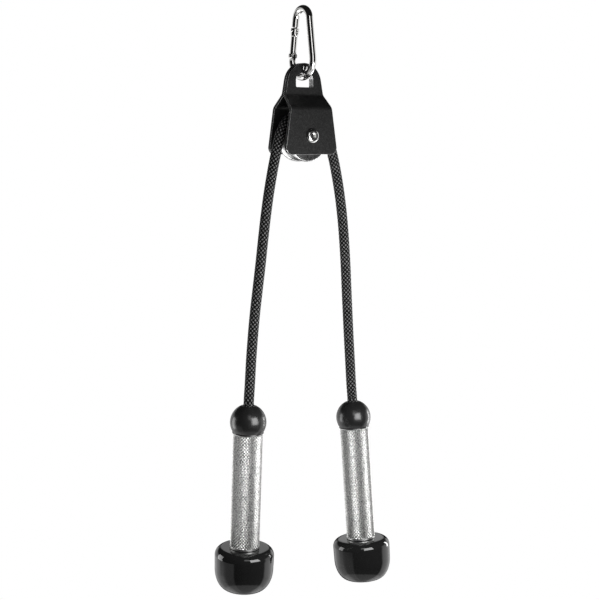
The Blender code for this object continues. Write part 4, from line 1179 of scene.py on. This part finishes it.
hinge_rivet = two_headed_rivet("hinge_rivet", shank=1.3, head_radius=2.25, head_height=0.7,
                               under_head=GATE_RADIUS + 0.3, matrix=GATE @ ACROSS)
dress(hinge_rivet, "gate", "polished_steel", polished_steel, "gate_hinge_rivet")
refinish(("gate_spring", "gate_plunger"), bearing_steel)

# %% [markdown]
# ## Cheek plates
#
# Each plate is cut from 3 mm steel, bent twice, and coated black. The steps here are those of the
# workshop: draw the outline as one face, cut it across where it will bend, fold it, give it its
# thickness, and then punch the slot and drill the holes. Last, the edges are rounded. The bevel gives
# its new faces a second material, the pale edge finish, which draws the fine pale lines that the coated
# plate shows along its rims: partly rubbed wear, partly a painted highlight. The slot's tool hands the
# same material to the walls it cuts, as a painted highlight on the lit inner wall.

# %% Plate outline and bends
PLATE = 3.0
TAB_Y = 1.8
CHEEK_Y = 13.4
BEND, BEND_STEPS = 5.0, 8
TAB_FOOT, TAB_FOOT_HALF = 37.6, 22.2
SHOULDER_Z, SHOULDER_HALF = 25.6, 23.9
CHEEK_FOOT, CHEEK_HALF, CHEEK_CORNER = -17.4, 29.6, 6.5
SLOT_TOP, SLOT_HALF, SLOT_HEIGHT = 59.0, 9.9, 13.5
SLOT_ARCH, SLOT_CORNER = 6.4, 1.2
TAB_TOP = SLOT_TOP + 9.0
TAB_RADIUS = 19.8
RIVET_Z = SLOT_TOP + 4.5
PLATE_HOLES = ((4.3, 0), (2.0, RIVET_Z))
BLOCK = Matrix.Translation(AXLE)
FORWARD = BLOCK @ Matrix.Rotation(math.radians(90), 4, "X")


def plate_path():
    """The plate's middle line from the side, as (height, distance from the middle plane)."""
    slope = math.atan2(CHEEK_Y - TAB_Y, TAB_FOOT - SHOULDER_Z)
    setback = BEND * math.tan(slope / 2)
    turns = [slope * i / BEND_STEPS for i in range(BEND_STEPS + 1)]
    upper = [(TAB_FOOT + setback - BEND * math.sin(t), TAB_Y + BEND * (1 - math.cos(t))) for t in turns]
    lower = [(SHOULDER_Z - setback + BEND * math.sin(t), CHEEK_Y - BEND * (1 - math.cos(t)))
             for t in reversed(turns)]
    return upper + lower


def plate_outline():
    """The plate's outline from the front, in millimetres from the axle."""
    centre = TAB_TOP - TAB_RADIUS
    reach = math.hypot(TAB_FOOT_HALF, TAB_FOOT - centre)
    leaves = math.degrees(math.atan2(TAB_FOOT - centre, TAB_FOOT_HALF)
                          + math.acos(min(1.0, TAB_RADIUS / reach)))
    top = arc((0, centre), (TAB_RADIUS,) * 2, 90, leaves, 22)
    corner = arc((CHEEK_HALF - CHEEK_CORNER, CHEEK_FOOT + CHEEK_CORNER), (CHEEK_CORNER,) * 2, 0, -90, 12)
    right = [*top, (TAB_FOOT_HALF, TAB_FOOT), (SHOULDER_HALF, SHOULDER_Z), *corner]
    return right + [(-x, z) for x, z in reversed(right[1:])]


def slot_outline():
    """The slot that hangs on the carabiner: wide, with an arched top."""
    corner_z = SLOT_TOP - SLOT_HEIGHT + SLOT_CORNER
    right = arc((SLOT_HALF - SLOT_CORNER, corner_z), (SLOT_CORNER,) * 2, 0, -90, 6)
    arch = arc((0, SLOT_TOP - SLOT_ARCH), (SLOT_HALF, SLOT_ARCH), 180, 0, 36)
    return arch + right + [(-x, z) for x, z in reversed(right)]


# %% Cheek plates
def plate_piece(name, side):
    """One bent plate. side is -1 for the front plate and 1 for the rear one."""
    path = plate_path()
    heights, distances = zip(*reversed(path))
    bm = bmesh.new()
    bm.faces.new([bm.verts.new((x * MM, 0, z * MM)) for x, z in plate_outline()])
    for height in heights:
        bmesh.ops.bisect_plane(bm, geom=[*bm.verts, *bm.edges, *bm.faces], dist=1e-7,
                               plane_co=(0, 0, height * MM), plane_no=(0, 0, 1))
    for vert in bm.verts:
        vert.co.y = side * float(np.interp(vert.co.z / MM, heights, distances)) * MM
    plate = as_piece(name, bm, BLOCK)
    wall = plate.modifiers.new("thickness", "SOLIDIFY")
    wall.thickness = PLATE * MM
    wall.offset = 0
    wall.use_even_offset = True
    apply_steps(plate)
    slot_tool = as_piece("slot", prism(slot_outline(), -20, 20), BLOCK)
    for piece in (plate, slot_tool):
        piece.data.materials.append(black_powder_coat)
        piece.data.materials.append(edge_wear_and_highlight)
    # The slot's walls get the pale edge finish: a painted highlight on the lit inner wall.
    for face in slot_tool.data.polygons:
        face.material_index = 1
    cut(plate, slot_tool)
    for radius, height in PLATE_HOLES:
        cut(plate, drill(radius, -20, 20, FORWARD @ Matrix.Translation((0, height * MM, 0)), 48))
    # The bevel's faces get the pale edge finish, partly wear and partly a painted highlight.
    soften(plate, 0.5, 3, angle=30, edge_material=1)
    return plate


for name, side in (("front_cheek_plate", -1), ("rear_cheek_plate", 1)):
    plate = plate_piece(name.replace("_cheek", ""), side)
    dress(plate, "pulley_block", "black_powder_coat", black_powder_coat, name)
    # Counts the faces with the pale edge finish, which is partly a painted highlight.
    print("faces with the rubbed edge:", sum(face.material_index == 1 for face in plate.data.polygons))

# %% [markdown]
# ## Rivet, bolt and nut
#
# A domed rivet closes the tab above the slot. The axle is a button-head bolt with a hexagon socket, and
# a lock nut holds it from behind. The dome is a quarter of an ellipse on the lathe. The socket is pressed
# in with a six-sided tool, and the nut is a six-sided bar whose corners are turned off.

# %% Tab rivet
tab_rivet = two_headed_rivet("plate_rivet", shank=1.7, head_radius=3.0, head_height=1.5, under_head=3.6,
                             matrix=FORWARD @ Matrix.Translation((0, RIVET_Z * MM, 0)), steps=64)
dress(tab_rivet, "pulley_block", "polished_steel", plated_steel, "tab_rivet")

# %% Axle bolt
SEAT = 15.2
HEAD_HEIGHT = 3.2
NUT = 6.5
BOLT_END = -SEAT - NUT - 1.2
HEAD_FLAT, HEAD_DOME = 4.2, 2.8
SOCKET_FLATS, SOCKET_DEPTH = 5.0, 2.2
THREADS, THREAD_PITCH, THREAD_RADIUS, THREAD_ROOT = 6, 1.25, 4.0, 3.4


def bolt_profile():
    """The bolt from the middle of its head round to the end of its thread."""
    dome = arc((HEAD_FLAT, SEAT), (HEAD_DOME, HEAD_HEIGHT), 90, 0, 20)
    thread = []
    for k in reversed(range(THREADS)):
        crest = BOLT_END + 0.9 + THREAD_PITCH * k
        thread += [(THREAD_RADIUS, crest + 0.1), (THREAD_RADIUS, crest - 0.1),
                   (THREAD_ROOT, crest - THREAD_PITCH / 2)]
    return [(0, SEAT + HEAD_HEIGHT), *dome, (THREAD_RADIUS, SEAT), *thread[:-1],
            (THREAD_ROOT - 0.1, BOLT_END), (0, BOLT_END)]


def hexagon(flats, low, high):
    """A six-sided bar about Z."""
    bm = bmesh.new()
    bmesh.ops.create_cone(bm, cap_ends=True, segments=6, radius1=flats / math.sqrt(3) * MM,
                          radius2=flats / math.sqrt(3) * MM, depth=(high - low) * MM,
                          matrix=Matrix.Translation((0, 0, (high + low) / 2 * MM)))
    return bm


bolt = as_piece("bolt", lathe(bolt_profile(), 80, closed=False), FORWARD)
head_top = SEAT + HEAD_HEIGHT
socket_radius = SOCKET_FLATS / math.sqrt(3)
cut(bolt, as_piece("socket", hexagon(SOCKET_FLATS, head_top - SOCKET_DEPTH, head_top + 1), FORWARD))
cut(bolt, as_piece("socket_mouth", lathe(
    [(0, head_top - 0.35), (socket_radius - 0.3, head_top - 0.35), (socket_radius + 0.25, head_top + 0.2),
     (0, head_top + 0.2)], 48, False), FORWARD))
dress(bolt, "pulley_block", "polished_steel", plated_steel, "axle_bolt")

# %% Lock nut
NUT_FLATS = 13.0
NUT_HOLE = 4.3
COLLAR = 1.7
nut_foot = -SEAT - NUT
nut_low = nut_foot + COLLAR
nut_corner = NUT_FLATS / math.sqrt(3)
nut = as_piece("nut", hexagon(NUT_FLATS, nut_low, -SEAT), FORWARD)
cut(nut, as_piece("turned_corners", lathe(
    [(0, -SEAT + 0.01), (6.4, -SEAT + 0.01), (nut_corner + 0.1, -SEAT - 0.6),
     (nut_corner + 0.1, nut_low + 0.6), (6.3, nut_low - 0.01), (0, nut_low - 0.01)], 96, False),
    FORWARD), "INTERSECT")
collar = eased([(4.6, nut_low + 0.5), (6.1, nut_low + 0.5), (5.9, nut_foot + 0.7, 0.5),
                (5.2, nut_foot, 0.3), (4.6, nut_foot + 0.1)], 5)
cut(nut, as_piece("collar", lathe(collar, 96), FORWARD), "UNION")
cut(nut, drill(NUT_HOLE, -40, 0, FORWARD, 64))
dress(nut, "pulley_block", "polished_steel", plated_steel, "axle_nut")
ring = as_piece("nut_lock_ring", lathe(eased(
    [(4.02, nut_foot + 1.6), (4.55, nut_foot + 1.6), (4.55, nut_foot + 0.35, 0.1),
     (4.02, nut_foot + 0.5, 0.1)], 3), 64), FORWARD)
dress(ring, "pulley_block", "satin_black_rubber", satin_black_rubber)

# %% [markdown]
# ## Sheave and bearing
#
# The wheel is turned aluminium with a round groove that fits the rope. Its rims are thin and painted
# bright as a highlight, so the edges are only just eased. It runs on a ball bearing between two spacers.
# These show only through the gaps beside the sheave, but they are turned as finely as the rest.

# %% Sheave
SHEAVE_RADIUS, SHEAVE_HALF = 23.6, 8.5
GROOVE_CENTRE, GROOVE_SEAT, GROOVE_MOUTH = 20.75, 5.05, 6.8
BEARING_RADIUS, BEARING_HALF = 11.0, 3.5


def sheave_profile():
    """The wheel's section, with its groove, its eased rims and a shallow face on each side."""
    groove = arc((GROOVE_CENTRE, 0), (GROOVE_SEAT, GROOVE_SEAT), 105, 255, 32)
    bore = BEARING_RADIUS + 0.3
    return eased([(bore, SHEAVE_HALF, 0.4), (SHEAVE_RADIUS, SHEAVE_HALF, 0.45),
                  (SHEAVE_RADIUS, GROOVE_MOUTH, 0.3), *groove, (SHEAVE_RADIUS, -GROOVE_MOUTH, 0.3),
                  (SHEAVE_RADIUS, -SHEAVE_HALF, 0.45), (bore, -SHEAVE_HALF, 0.4)], 5)


sheave = as_piece("sheave_wheel", lathe(sheave_profile(), 144), FORWARD)
dress(sheave, "sheave", "turned_aluminium", sheave_aluminium, "sheave")

# %% Spacers and bearing
SPACER = (4.3, 6.0, BEARING_HALF + 0.3, 11.6)


def ring_piece(name, inner, outer, low, high):
    """A turned ring about the axle with eased corners."""
    return as_piece(name, lathe(eased([(outer, high, 0.3), (outer, low, 0.3), (inner, low, 0.2),
                                       (inner, high, 0.2)], 3), 80), FORWARD)


inner_radius, outer_radius, near, far = SPACER
for name, low, high in (("front_axle_spacer", near, far), ("rear_axle_spacer", -far, -near)):
    spacer = ring_piece(name.replace("_axle", ""), inner_radius, outer_radius, low, high)
    dress(spacer, "pulley_block", "turned_aluminium", turned_aluminium, name)
bearing_nodes = ["bearing_inner_race", "bearing_outer_race", *[f"bearing_ball_{i}" for i in range(1, 8)]]
refinish(bearing_nodes, bearing_steel)

# %% [markdown]
# ## The last lines
#
# The visual model's box is printed, in millimetres. The visual model has to stay inside the CAD's
# box.

# %% Sizes
low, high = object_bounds()
print("visual box in mm:", [round(1000 * v, 1) for v in high - low])
